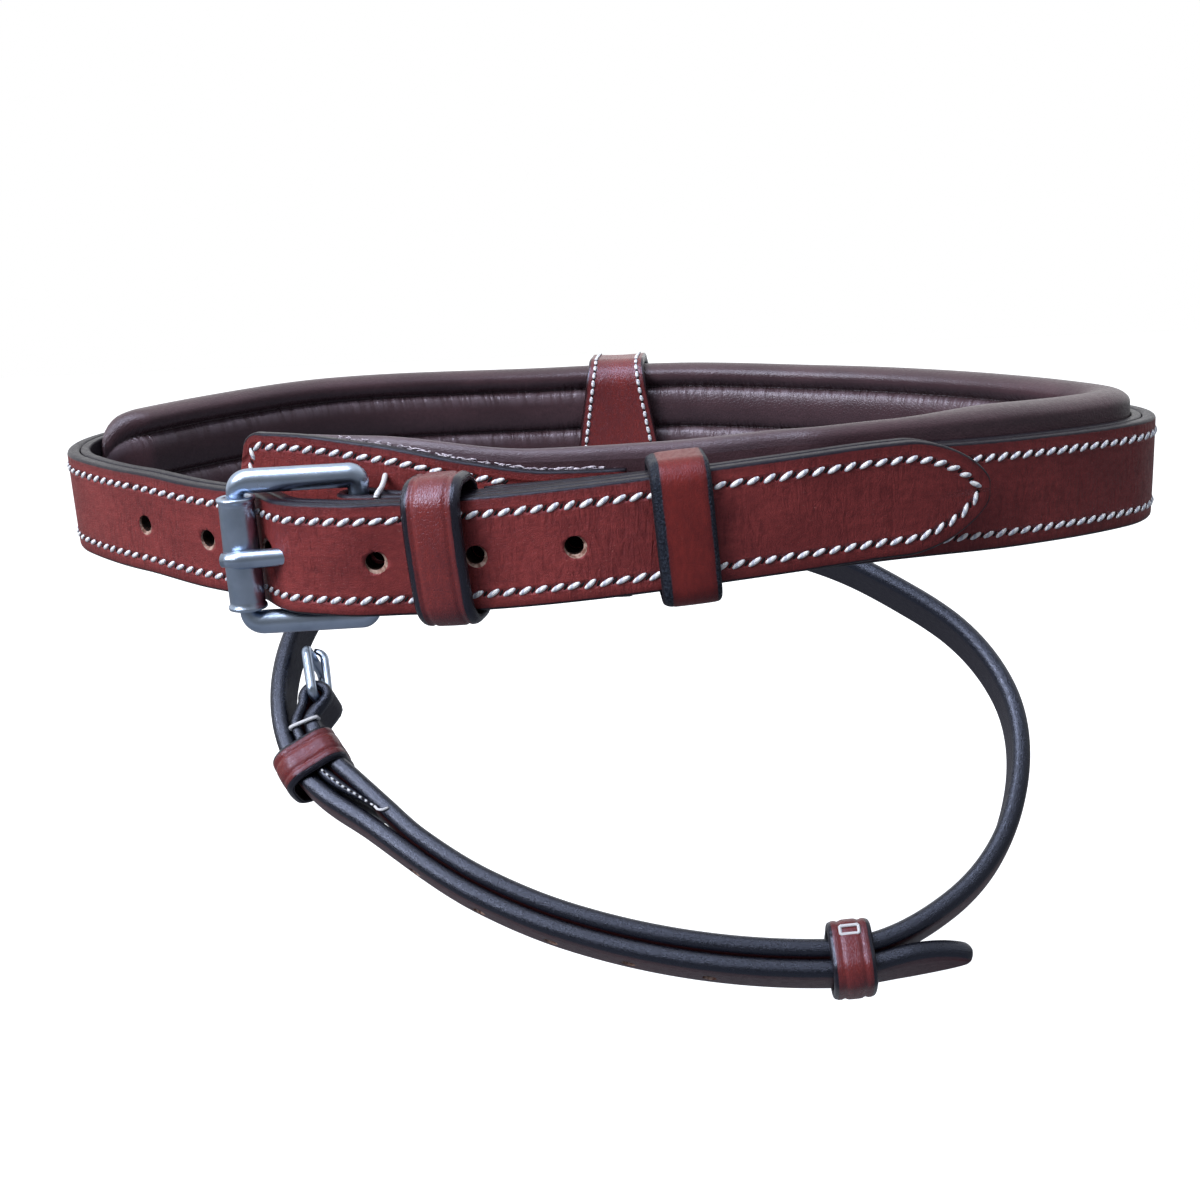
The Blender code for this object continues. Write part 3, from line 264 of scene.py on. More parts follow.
@dataclass
class Run:
    """A strap's stations: its middle line, where its face looks, which way is across it, and half its sizes."""

    place: np.ndarray
    middle: np.ndarray
    face: np.ndarray
    up: np.ndarray
    half_thick: np.ndarray
    half_wide: np.ndarray
    closed: bool = False

    @classmethod
    def in_plan(cls, place: np.ndarray, path: np.ndarray, thick: np.ndarray | float, wide: np.ndarray | float,
                lift: np.ndarray | float = 0.0, to_world: np.ndarray | None = None, closed: bool = False) -> "Run":
        """Run of a strap that stands on edge along a plan path; its face looks to the right of the path.

        Args:
            place: key of each station, rising.
            path: (n, 2) middle line in the plan.
            thick: half thickness.
            wide: half width.
            lift: height of the middle.
            to_world: 4x4 placement of the plan.
            closed: whether the path meets its start.
        """
        step = np.roll(path, -1, axis=0) - np.roll(path, 1, axis=0) if closed else np.gradient(path, axis=0)
        count = len(path)
        face = unit(np.column_stack([step[:, 1], -step[:, 0], np.zeros(count)]))
        middle = np.column_stack([path, np.broadcast_to(lift, count)])
        up = np.tile([0.0, 0.0, 1.0], (count, 1))
        if to_world is not None:
            middle, face, up = moved(to_world, middle), face @ to_world[:3, :3].T, up @ to_world[:3, :3].T
        full = [np.broadcast_to(value, count).astype(float) for value in (thick, wide)]
        return cls(place, middle, face, up, *full, closed)

    def value(self, column: np.ndarray, place: np.ndarray) -> np.ndarray:
        """A column of the run, read at places between its stations."""
        if column.ndim == 1:
            return np.interp(place, self.place, column)
        return np.stack([np.interp(place, self.place, part) for part in column.T], axis=-1)

    def on_face(self, place: np.ndarray, across: np.ndarray | float) -> tuple[np.ndarray, np.ndarray]:
        """Points on the face and the directions in which it looks."""
        face = unit(self.value(self.face, place))
        out = self.value(self.half_thick, place)
        across = np.broadcast_to(across, np.shape(place))
        return self.value(self.middle, place) + face * out[:, None] + self.value(self.up, place) * across[:, None], face


@dataclass(frozen=True)
class Section:
    """Cross-section of a strap: round edges, an arched face and creases pressed along it."""

    edge: float
    crown: float = 0.0
    face_steps: int = 16
    edge_steps: int = 5
    creases: tuple[float, ...] = ()
    crease_depth: float = 0.3 * MM
    crease_width: float = 0.45 * MM
    bevel: tuple[float, float] | None = None

    def points(self, thick: np.ndarray, wide: np.ndarray,
               full_wide: float) -> tuple[np.ndarray, np.ndarray, np.ndarray]:
        """Section round the strap at each station.

        Out of the middle the face stands at T + crown (1 - (w/H)^2), less a bell of depth d for each crease, and each
        corner is a quarter circle, or on the face's side a quarter ellipse as wide as the bevel of that side. The
        UV's across value is the distance from the middle of the face, so that the corner starts at full_wide less
        the edge, and beyond it come the edge and the back.

        Args:
            thick: half thickness T at each station.
            wide: half width H at each station.
            full_wide: half width of the plain strap, at which the UV puts the corner.

        Returns:
            Arrays (stations, columns) of out and across, and (stations, columns + 1) of the UV's across value.
        """
        thick, wide = thick[:, None], wide[:, None]
        edge = np.minimum(self.edge, np.minimum(thick, wide) * 0.96)
        low, high = (wide - (edge if self.bevel is None else bevel) for bevel in (self.bevel or (0, 0)))
        drop = edge if self.bevel is None else 1.5 * thick
        flat = wide - edge
        side = thick - edge
        bend = np.linspace(0, math.pi / 2, self.edge_steps)[None, :]
        back = np.linspace(0, 1, 4)[None, :-1]
        face = np.linspace(-1, 1, self.face_steps + 1)[None, 1:-1]
        across_face = np.where(face < 0, face * low, face * high)
        out_face = thick + self.crown * (1 - (across_face / wide) ** 2) + 0 * across_face
        for crease in self.creases:
            out_face = out_face - self.crease_depth * np.exp(-(((across_face - crease) / self.crease_width) ** 2))
        out = [-thick - 0 * back, -side - edge * np.cos(bend), thick - drop + drop * np.sin(bend), out_face,
               thick - drop + drop * np.cos(bend), -side - edge * np.sin(bend), -thick - 0 * back[:, :-1]]
        across = [-back * flat, -flat - edge * np.sin(bend), -low - (wide - low) * np.cos(bend), across_face,
                  high + (wide - high) * np.sin(bend), flat + edge * np.cos(bend), flat * (1 - back[:, 1:])]
        out, across = (np.concatenate(parts, axis=1) for parts in (out, across))
        looped = [np.concatenate([part, part[:, :1]], axis=1) for part in (out, across)]
        lengths = np.hypot(*(np.diff(part, axis=1) for part in looped))
        reach = np.concatenate([0 * thick, np.cumsum(lengths, axis=1)], axis=1)
        first = back.shape[1] + 2 * self.edge_steps
        last = first + face.shape[1]
        corner = full_wide - edge
        uv = np.where(np.arange(reach.shape[1]) < first, reach - reach[:, first - 1 : first] - corner,
                      reach - reach[:, last : last + 1] + corner)
        uv[:, first:last] = face * corner
        return out, across, uv


def band_mesh(name: str, run: Run, section: Section, full_wide: float,
              near_tip: np.ndarray | None = None) -> bpy.types.Mesh:
    """Strap swept along a run.

    Args:
        name: name of the mesh.
        run: its stations.
        section: its cross-section.
        full_wide: half width of the plain strap.
        near_tip: where given, (stations,) whether the UV follows the tip's outline there.

    Returns:
        The mesh, with u in metres along the strap and v in metres across it.
    """
    out, across, uv = section.points(run.half_thick, run.half_wide, full_wide)
    if near_tip is not None:
        uv = follow_outline(run, across, uv, full_wide, near_tip)
    points = run.middle[:, None] + run.face[:, None] * out[..., None] + run.up[:, None] * across[..., None]
    u = travelled(run.middle)
    if run.closed:
        u = np.append(u, u[-1] + np.linalg.norm(run.middle[-1] - run.middle[0]))
    return grid_mesh(name, points, u, uv, run.closed, full_wide + 1 * MM)


def follow_outline(run: Run, across: np.ndarray, uv: np.ndarray, full_wide: float, near_tip: np.ndarray) -> np.ndarray:
    """UV across values that keep their distance to the outline round a tip, so that grooves follow it."""
    outline = np.column_stack([run.place, run.half_wide])
    end = np.column_stack([np.full(8, run.place[-1]), np.linspace(0, run.half_wide[-1], 8)])
    outline = np.concatenate([outline, end])
    for row in np.flatnonzero(near_tip):
        inside = np.abs(uv[row, :-1]) < full_wide - 0.4 * MM
        reach = np.hypot(run.place[row] - outline[:, 0], np.abs(across[row][inside, None]) - outline[:, 1]).min(axis=1)
        reach = np.minimum(reach, full_wide)
        uv[row, :-1][inside] = np.sign(across[row][inside]) * (full_wide - reach)
    return uv


def tube_mesh(name: str, path: np.ndarray, normal: np.ndarray, radii: np.ndarray, closed: bool = False,
              steps: int = 20, flatten: float = 1.0) -> bpy.types.Mesh:
    """Round bar along a path in a plane: an ellipse of radius r across and r x flatten out of the plane."""
    step = np.roll(path, -1, axis=0) - np.roll(path, 1, axis=0) if closed else np.gradient(path, axis=0)
    side = unit(np.cross(step, normal))
    turn = np.linspace(0, 2 * math.pi, steps, endpoint=False)
    ring = side[:, None] * np.cos(turn)[None, :, None] + normal * np.sin(turn)[None, :, None] * flatten
    radii = np.broadcast_to(radii, len(path))
    if not closed:
        round_off = np.sin(np.linspace(0.15, math.pi / 2, 6))
        ahead = unit(step[[0, -1]])
        back = (1 - np.cos(np.linspace(math.pi / 2, 0, 6)))[:, None]
        start = path[0] - ahead[0] * radii[0] * (1 - back[::1]) * 0.9
        finish = path[-1] + ahead[1] * radii[-1] * (1 - back[::-1]) * 0.9
        path = np.concatenate([start, path[1:-1], finish])
        ring = np.concatenate([ring[:1].repeat(6, axis=0), ring[1:-1], ring[-1:].repeat(6, axis=0)])
        radii = np.concatenate([radii[0] * round_off, radii[1:-1], radii[-1] * round_off[::-1]])
    points = path[:, None] + ring * radii[:, None, None]
    around = np.linspace(0, 1, steps + 1)[None, :] * 2 * math.pi * float(np.median(radii))
    u = travelled(path)
    u = np.append(u, u[-1] + np.linalg.norm(path[-1] - path[0])) if closed else u
    return grid_mesh(name, points, u, np.repeat(around, len(path), axis=0), closed, 0.0)


# ---------------------------------------------------------------- finishes


def srgb(code: str) -> tuple[float, float, float, float]:
    """Linear colour from an sRGB hex code."""
    values = [int(code[place : place + 2], 16) / 255 for place in (0, 2, 4)]
    linear = [value / 12.92 if value <= 0.04045 else ((value + 0.055) / 1.055) ** 2.4 for value in values]
    return (*linear, 1.0)


def node(tree: bpy.types.NodeTree, kind: str, settings: dict | None = None,
         links: dict | None = None) -> bpy.types.Node:
    """Add a node with its settings and links.

    Args:
        tree: node tree that takes it.
        kind: the node's type.
        settings: its properties.
        links: for each input, by name or number, a value or the socket that feeds it.

    Returns:
        The node.
    """
    made = tree.nodes.new(kind)
    for key, value in (settings or {}).items():
        setattr(made, key, value)
    for key, value in (links or {}).items():
        if isinstance(value, bpy.types.NodeSocket):
            tree.links.new(value, made.inputs[key])
        else:
            made.inputs[key].default_value = value
    return made


class Kind(Enum):
    """Nodes that the finishes use: type, settings, inputs in the order in which they are fed, and the output."""

    TIMES = ("ShaderNodeMath", {"operation": "MULTIPLY"}, (0, 1), 0)
    LESS = ("ShaderNodeMath", {"operation": "SUBTRACT"}, (0, 1), 0)
    TIMES_PLUS = ("ShaderNodeMath", {"operation": "MULTIPLY_ADD"}, (0, 1, 2), 0)
    SIZE = ("ShaderNodeMath", {"operation": "ABSOLUTE"}, (0,), 0)
    SMALLER = ("ShaderNodeMath", {"operation": "MINIMUM"}, (0, 1), 0)
    LARGER = ("ShaderNodeMath", {"operation": "MAXIMUM"}, (0, 1), 0)
    SINE = ("ShaderNodeMath", {"operation": "SINE"}, (0,), 0)
    FADE = ("ShaderNodeMapRange", {"interpolation_type": "SMOOTHSTEP"}, (0, 1, 2, 3, 4), 0)
    MIX = ("ShaderNodeMix", {"data_type": "RGBA"}, (0, 6, 7), 2)
    OBJECT_PLACE = ("ShaderNodeTexCoord", {}, (), "Object")
    SCALED = ("ShaderNodeMapping", {}, (0, 1, 3), 0)
    NOISE = ("ShaderNodeTexNoise", {}, ("Vector", "Scale", "Detail", "Roughness", "Distortion"), 0)
    CELLS = ("ShaderNodeTexVoronoi", {"feature": "DISTANCE_TO_EDGE"}, ("Vector", "Scale"), 0)
    BUMP = ("ShaderNodeBump", {}, ("Height", "Distance", "Normal", "Strength"), 0)


def wired(tree: bpy.types.NodeTree, kind: Kind, *inputs: object) -> bpy.types.NodeSocket:
    """Add a node of a kind.

    Args:
        tree: node tree that takes it.
        kind: which one.
        inputs: values or sockets for its inputs in the kind's order. None leaves an input as it is.

    Returns:
        The kind's output.
    """
    type_name, settings, keys, output = kind.value
    links = {key: value for key, value in zip(keys, inputs) if value is not None}
    return node(tree, type_name, settings, links).outputs[output]


class Tones:
    """A material in the making, with the piece's coordinates along (u) and across (v) in metres."""

    def __init__(self, name: str) -> None:
        """Start a material with a Principled shader."""
        self.material = bpy.data.materials.new(name)
        self.material.use_nodes = True
        self.tree = self.material.node_tree
        self.shader = self.tree.nodes["Principled BSDF"]
        self.uv = node(self.tree, "ShaderNodeUVMap", {"uv_map": UV_NAME}).outputs[0]
        split = node(self.tree, "ShaderNodeSeparateXYZ", None, {0: self.uv})
        self.u, self.v = split.outputs[0], split.outputs[1]

    def add(self, kind: Kind, *inputs: object) -> bpy.types.NodeSocket:
        """Add a node of a kind to this material."""
        return wired(self.tree, kind, *inputs)

    def pattern(self, kind: Kind, size: float, stretch: tuple[float, float] = (1, 1), detail: float = 3.0,
                shift: float = 0.0, distortion: float = 0.0) -> bpy.types.NodeSocket:
        """Noise or cells of a real size.

        Args:
            kind: Kind.NOISE or Kind.CELLS.
            size: width of a cell in metres.
            stretch: how much longer it is along and across the piece.
            detail: octaves of the noise.
            shift: move that keeps two patterns of one piece apart.
            distortion: how much the noise is bent.

        Returns:
            The texture's value.
        """
        scale = (1 / (size * stretch[0]), 1 / (size * stretch[1]), 1)
        scaled = self.add(Kind.SCALED, self.uv, (shift, shift * 0.37, 0), scale)
        return self.add(kind, scaled, 1.0, detail, 0.6, distortion)

    def patches(self, size: float, low: float, high: float, stretch: tuple[float, float] = (1, 1), detail: float = 3.0,
                shift: float = 0.0) -> bpy.types.NodeSocket:
        """Soft patches from 0 to 1, where a noise of that size rises from low to high."""
        return self.add(Kind.FADE, self.pattern(Kind.NOISE, size, stretch, detail, shift), low, high)

    def glaze(self, colour: object, where: object, strength: float, code: str) -> bpy.types.NodeSocket:
        """The colour with another laid over it, by a mask and a strength."""
        return self.add(Kind.MIX, self.add(Kind.TIMES, where, strength), colour, srgb(code))

    def set(self, **sockets: object) -> bpy.types.Material:
        """Feed the shader's sockets, with _ for a space in their names, and return the material."""
        for name, value in sockets.items():
            socket = self.shader.inputs[name.replace("_", " ")]
            if isinstance(value, bpy.types.NodeSocket):
                self.tree.links.new(value, socket)
            else:
                socket.default_value = value
        return self.material


@dataclass(frozen=True)
class BridleLeather:
    """Vegetable-tanned bridle leather, drum-dyed chestnut and waxed: a fine grain with pores under a soft satin
    shine, wrinkles where it bends, and edges rounded and painted near black.

    Real pores and fibres are about 0.1 mm wide, too fine to show, so they are drawn at about 0.5 mm.
    """

    name: str
    half_wide: float
    thick: float
    face: str = "913E3C"
    deep: str = "541D1D"
    edge: str = "151118"
    fibre: str = "3A3440"
    flesh: str = "1D171C"
    fleck: str = "B07C74"
    scuff: str = "B58A80"
    row: float = 0.0
    wrinkles: float = 1.0
    roughness: float = 0.42
    edge_in: float = 0.45 * MM
    rough_edge: bool = False
    shine: float = 0.28
    wax: float = 0.05
    pore: float = 0.55 * MM
    fibre_size: float = 0.5 * MM
    wrinkle: float = 1.2 * MM
    groove: float = 1.0 * MM

    def build(self) -> bpy.types.Material:
        """Make the material.

        Returns:
            The material: a face between v = -H and H, painted edges beyond, then the flesh side.
        """
        t = Tones(self.name)
        across = t.add(Kind.SIZE, t.v)
        corner, end = self.half_wide - self.edge_in, self.half_wide + self.thick
        even = t.add(Kind.LESS, across, 0.17 * MM)
        ragged = t.add(Kind.TIMES_PLUS, t.pattern(Kind.NOISE, 0.8 * MM, (3, 1)), 0.35 * MM, even)
        painted = t.add(Kind.FADE, ragged, corner - 0.25 * MM, corner + 0.1 * MM)
        bare = t.add(Kind.LESS, 1.0, painted)
        burnished = t.add(Kind.FADE, ragged, corner - 1.6 * MM, corner, 0.0, 0.55)
        back = t.add(Kind.FADE, across, end - 0.5 * MM, end + 0.1 * MM)
        clouds = t.patches(14 * MM, 0.3, 0.7, (1.6, 1), 4)
        mottle = t.patches(2 * self.pore, 0.32, 0.72, (1.8, 1), 4, 3.1)
        creases = t.pattern(Kind.NOISE, self.wrinkle, (1, 4.5), 3, 7.7, 1.1)
        creased = t.add(Kind.TIMES, t.patches(22 * MM, 0.34, 0.56, (1, 1), 2, 5.0), self.wrinkles)
        # painted shade: the face darkened in the valleys of the creases
        crease_shade = t.add(Kind.TIMES, t.add(Kind.FADE, creases, 0.36, 0.5, 1.0, 0.0), creased)
        # pale flecks: specks of the grain's tone, partly a painted highlight of glints on the crinkled grain
        flecks = t.patches(0.42 * MM, 0.62, 0.7, (1.3, 1), 4, 4.6)
        flecks = t.add(Kind.TIMES, flecks, t.patches(16 * MM, 0.42, 0.6, (1, 1), 2, 8.8))
        scuffs = t.patches(self.fibre_size, 0.66, 0.74, (4, 1), 5, 9.0)
        scuffs = t.add(Kind.TIMES, scuffs, t.patches(9 * MM, 0.48, 0.66, (1, 1), 2, 1.4))
        fibres = t.patches(self.fibre_size, 0.35, 0.8, (1, 1) if self.rough_edge else (2.5, 0.5), 5, 2.2)
        colour = srgb(self.face)
        for where, strength, code in (
            (clouds, 0.5, self.deep), (mottle, 0.38, self.deep), (crease_shade, 0.4, self.deep),
            (flecks, 0.35 * self.wrinkles, self.fleck), (scuffs, 0.55, self.scuff), (burnished, 1.0, self.deep)):
            colour = t.glaze(colour, where, strength, code)
        paint = t.glaze(srgb(self.edge), fibres, 0.75 if self.rough_edge else 0.3, self.fibre)
        colour = t.glaze(t.add(Kind.MIX, painted, colour, paint), back, 1.0, self.flesh)
        pores = t.add(Kind.FADE, t.pattern(Kind.CELLS, self.pore, (1.5, 1)), 0.0, 0.16)
        crease_depth = t.add(Kind.TIMES, bare, t.add(Kind.TIMES_PLUS, creased, 0.7, 0.04))
        skin = t.add(Kind.BUMP, pores, 0.05 * MM, None, t.add(Kind.TIMES, bare, 0.6))
        skin = t.add(Kind.BUMP, creases, 0.4 * MM, skin, crease_depth)
        waves = t.pattern(Kind.NOISE, 5 * MM, (1.5, 1), 2, 11.0)
        skin = t.add(Kind.BUMP, waves, 0.5 * MM, skin, t.add(Kind.TIMES, bare, 0.18))
        if self.row:
            off_row = t.add(Kind.SIZE, t.add(Kind.LESS, across, self.row))
            skin = t.add(Kind.BUMP, t.add(Kind.FADE, off_row, 0.15 * MM, self.groove), 0.35 * MM, skin, 0.8)
            # painted shade: the face darkened along the middle of the stitch groove
            colour = t.glaze(colour, t.add(Kind.FADE, off_row, 0.0, 0.8 * self.groove, 0.45, 0.0), 1.0, self.deep)
        skin = t.add(Kind.BUMP, fibres, (0.30 if self.rough_edge else 0.04) * MM, skin, painted)
        gloss = t.add(Kind.TIMES_PLUS, mottle, 0.12, self.roughness)
        gloss = t.add(Kind.TIMES_PLUS, painted, 0.08 if self.rough_edge else -0.12, gloss)
        gloss = t.add(Kind.TIMES_PLUS, back, 0.3, gloss)
        return t.set(Base_Color=colour, Roughness=gloss, Normal=skin, Specular_IOR_Level=self.shine,
                     Specular_Tint=srgb("D3DEFF"), Coat_Weight=self.wax, Coat_Roughness=0.25)


@dataclass(frozen=True)
class LiningLeather:
    """Soft chrome-tanned lining leather over foam: a plum brown with a faint silky sheen, fine pebbling, short
    puckers that run out of each seam where the stitches pull, and a painted highlight on the roll behind the buckle."""

    name: str
    seams: tuple[float, ...]
    face: str = "50393F"
    deep: str = "281A1F"
    seam_shade: str = "20161B"
    lit: str = "82747F"
    # painted highlight: a pale band on the near roll's front behind the buckle, where the light falls on it
    painted_highlight: str = "8A7E8C"
    highlight_across: tuple[float, float, float, float] = (-22 * MM, -19 * MM, -18 * MM, -14.5 * MM)
    highlight_along: tuple[float, float] = (100 * MM, 135 * MM)
    pucker_pitch: float = 3.1 * MM
    pucker_reach: float = 4.2 * MM
    pebble: float = 0.75 * MM

    def build(self) -> bpy.types.Material:
        """Make the material: puckers fade out along their reach from each seam, with a painted highlight just below it.
        """
        t = Tones(self.name)
        off_seam, lit = None, 0.0
        for seam in (*self.seams, *(-seam for seam in self.seams if seam)):
            below = t.add(Kind.LESS, t.v, seam)
            off = t.add(Kind.SIZE, below)
            off_seam = off if off_seam is None else t.add(Kind.SMALLER, off_seam, off)
            rising = t.add(Kind.FADE, below, 0.2 * MM, 1.1 * MM)
            falling = t.add(Kind.FADE, below, 1.3 * MM, 5.0 * MM, 1.0, 0.0)
            lit = t.add(Kind.LARGER, lit, t.add(Kind.TIMES, rising, falling))
        near = t.add(Kind.FADE, off_seam, 0.2 * MM, self.pucker_reach, 1.0, 0.0)
        puckers = t.pattern(Kind.NOISE, self.pucker_pitch * 0.55, (1, 6), 1.5, 4.0, 0.5)
        clouds = t.patches(11 * MM, 0.3, 0.7, (2, 1), 3)
        fine = t.patches(0.9 * MM, 0.3, 0.7, (1.3, 1), 4, 2.0)
        # painted highlight: the puckers just below each seam, where the roll's top catches the light
        ribs = t.add(Kind.TIMES, t.add(Kind.FADE, puckers, 0.35, 0.66, 0.25, 1.0), lit)
        # painted highlight band across the near roll, faded out along the lining
        top, upper, lower, foot = self.highlight_across
        highlight_band = t.add(Kind.TIMES, t.add(Kind.FADE, t.v, top, upper, 0.15, 0.5),
                    t.add(Kind.FADE, t.v, lower, foot, 1.0, 0.0))
        highlight_band = t.add(Kind.TIMES, highlight_band, t.add(Kind.FADE, t.u, *self.highlight_along, 1.0, 0.0))
        seam_dark = t.add(Kind.FADE, off_seam, 0.0, 0.7 * MM, 0.4, 0.0)
        colour = srgb(self.face)
        for where, strength, code in (
            (clouds, 0.45, self.deep), (fine, 0.25, self.deep), (seam_dark, 1.0, self.seam_shade),
            (ribs, 0.6, self.lit), (highlight_band, 1.0, self.painted_highlight)):
            colour = t.glaze(colour, where, strength, code)
        pebbles = t.add(Kind.FADE, t.pattern(Kind.CELLS, self.pebble, (1.2, 1)), 0.0, 0.2)
        skin = t.add(Kind.BUMP, pebbles, 0.04 * MM, None, 0.6)
        skin = t.add(Kind.BUMP, puckers, 1.1 * MM, skin, t.add(Kind.TIMES, near, 0.9))
        skin = t.add(Kind.BUMP, t.pattern(Kind.NOISE, 4 * MM, (1, 1), 2, 6.0), 0.5 * MM, skin, 0.2)
        return t.set(Base_Color=colour, Roughness=t.add(Kind.TIMES_PLUS, fine, 0.1, 0.3), Normal=skin,
                     Specular_IOR_Level=0.6, Specular_Tint=srgb("E4E6F6"), Sheen_Weight=0.03, Sheen_Roughness=0.4)


@dataclass(frozen=True)
class SatinSteel:
    """Cast stainless steel, tumbled and brushed by hand: a cool grey that holds soft wide highlights, with faint
    scratches round each bar."""

    name: str
    colour: str = "B2C2D9"
    shade: str = "8899B0"
    roughness: float = 0.27
    cloud: float = 6 * MM
    scratch: float = 0.5 * MM

    def build(self) -> bpy.types.Material:
        """Make the material."""
        t = Tones(self.name)
        place = t.add(Kind.OBJECT_PLACE)
        clouds = t.add(Kind.NOISE, place, 1 / self.cloud, 3.0)
        fine = t.add(Kind.NOISE, place, 1 / self.scratch, 4.0)
        colour = t.glaze(srgb(self.colour), t.add(Kind.FADE, clouds, 0.35, 0.7, 0.0, 0.5), 1.0, self.shade)
        skin = t.add(Kind.BUMP, fine, 0.03 * MM, None, 0.35)
        skin = t.add(Kind.BUMP, clouds, 0.35 * MM, skin, 0.3)
        gloss = t.add(Kind.TIMES_PLUS, clouds, 0.16, self.roughness - 0.04)
        return t.set(Base_Color=colour, Metallic=1.0, Roughness=gloss, Normal=skin)


@dataclass(frozen=True)
class WaxedThread:
    """White waxed linen thread, laid in plies: bright, with thin grey shadows between the twisted strands."""

    name: str = "waxed_linen_thread"
    colour: str = "F8F9FC"
    shade: str = "BDC3D4"
    twists: float = 1.5

    def build(self) -> bpy.types.Material:
        """Make the material: a turn and a half of twist on each stitch, and painted shade at its ends."""
        t = Tones(self.name)
        twist = t.add(Kind.SINE, t.add(Kind.TIMES, t.add(Kind.TIMES_PLUS, t.u, self.twists, t.v), 2 * math.pi))
        strands = t.add(Kind.FADE, twist, -1.0, 0.0)
        # painted shade: each stitch darkened towards its ends, where it dips into the leather
        ends = t.add(Kind.FADE, t.add(Kind.SIZE, t.add(Kind.LESS, t.u, 0.5)), 0.4, 0.5, 0.0, 0.3)
        colour = t.add(Kind.MIX, strands, srgb(self.shade), srgb(self.colour))
        skin = t.add(Kind.BUMP, strands, 0.05 * MM, None, 0.6)
        return t.set(Base_Color=t.glaze(colour, ends, 1.0, self.shade), Roughness=0.5, Normal=skin, Sheen_Weight=0.15)


@dataclass(frozen=True)
class PlainFinish:
    """A small area of one fibrous stuff, such as the raw wall of a punched hole, in a dark copy for its painted shade
    and a pale copy for its painted lit rim, or the dark grain of painted shade in the slot of an awl.
    """

    name: str
    colour: str
    deep: str
    roughness: float = 0.8
    grain: float = 0.6 * MM

    def build(self) -> bpy.types.Material:
        """Make the material."""
        t = Tones(self.name)
        fibres = t.add(Kind.NOISE, t.add(Kind.OBJECT_PLACE), 1 / self.grain, 5.0)
        colour = t.glaze(srgb(self.colour), t.add(Kind.FADE, fibres, 0.35, 0.65), 1.0, self.deep)
        return t.set(Base_Color=colour, Roughness=self.roughness, Specular_IOR_Level=0.2,
                     Normal=t.add(Kind.BUMP, fibres, 0.12 * MM, None, 0.6))


# ---------------------------------------------------------------- sewing


class Slant(Enum):
    """Which way a saddle stitch leans against its row."""

    RISING = 1.0
    STRAIGHT = 0.0
    FALLING = -1.0


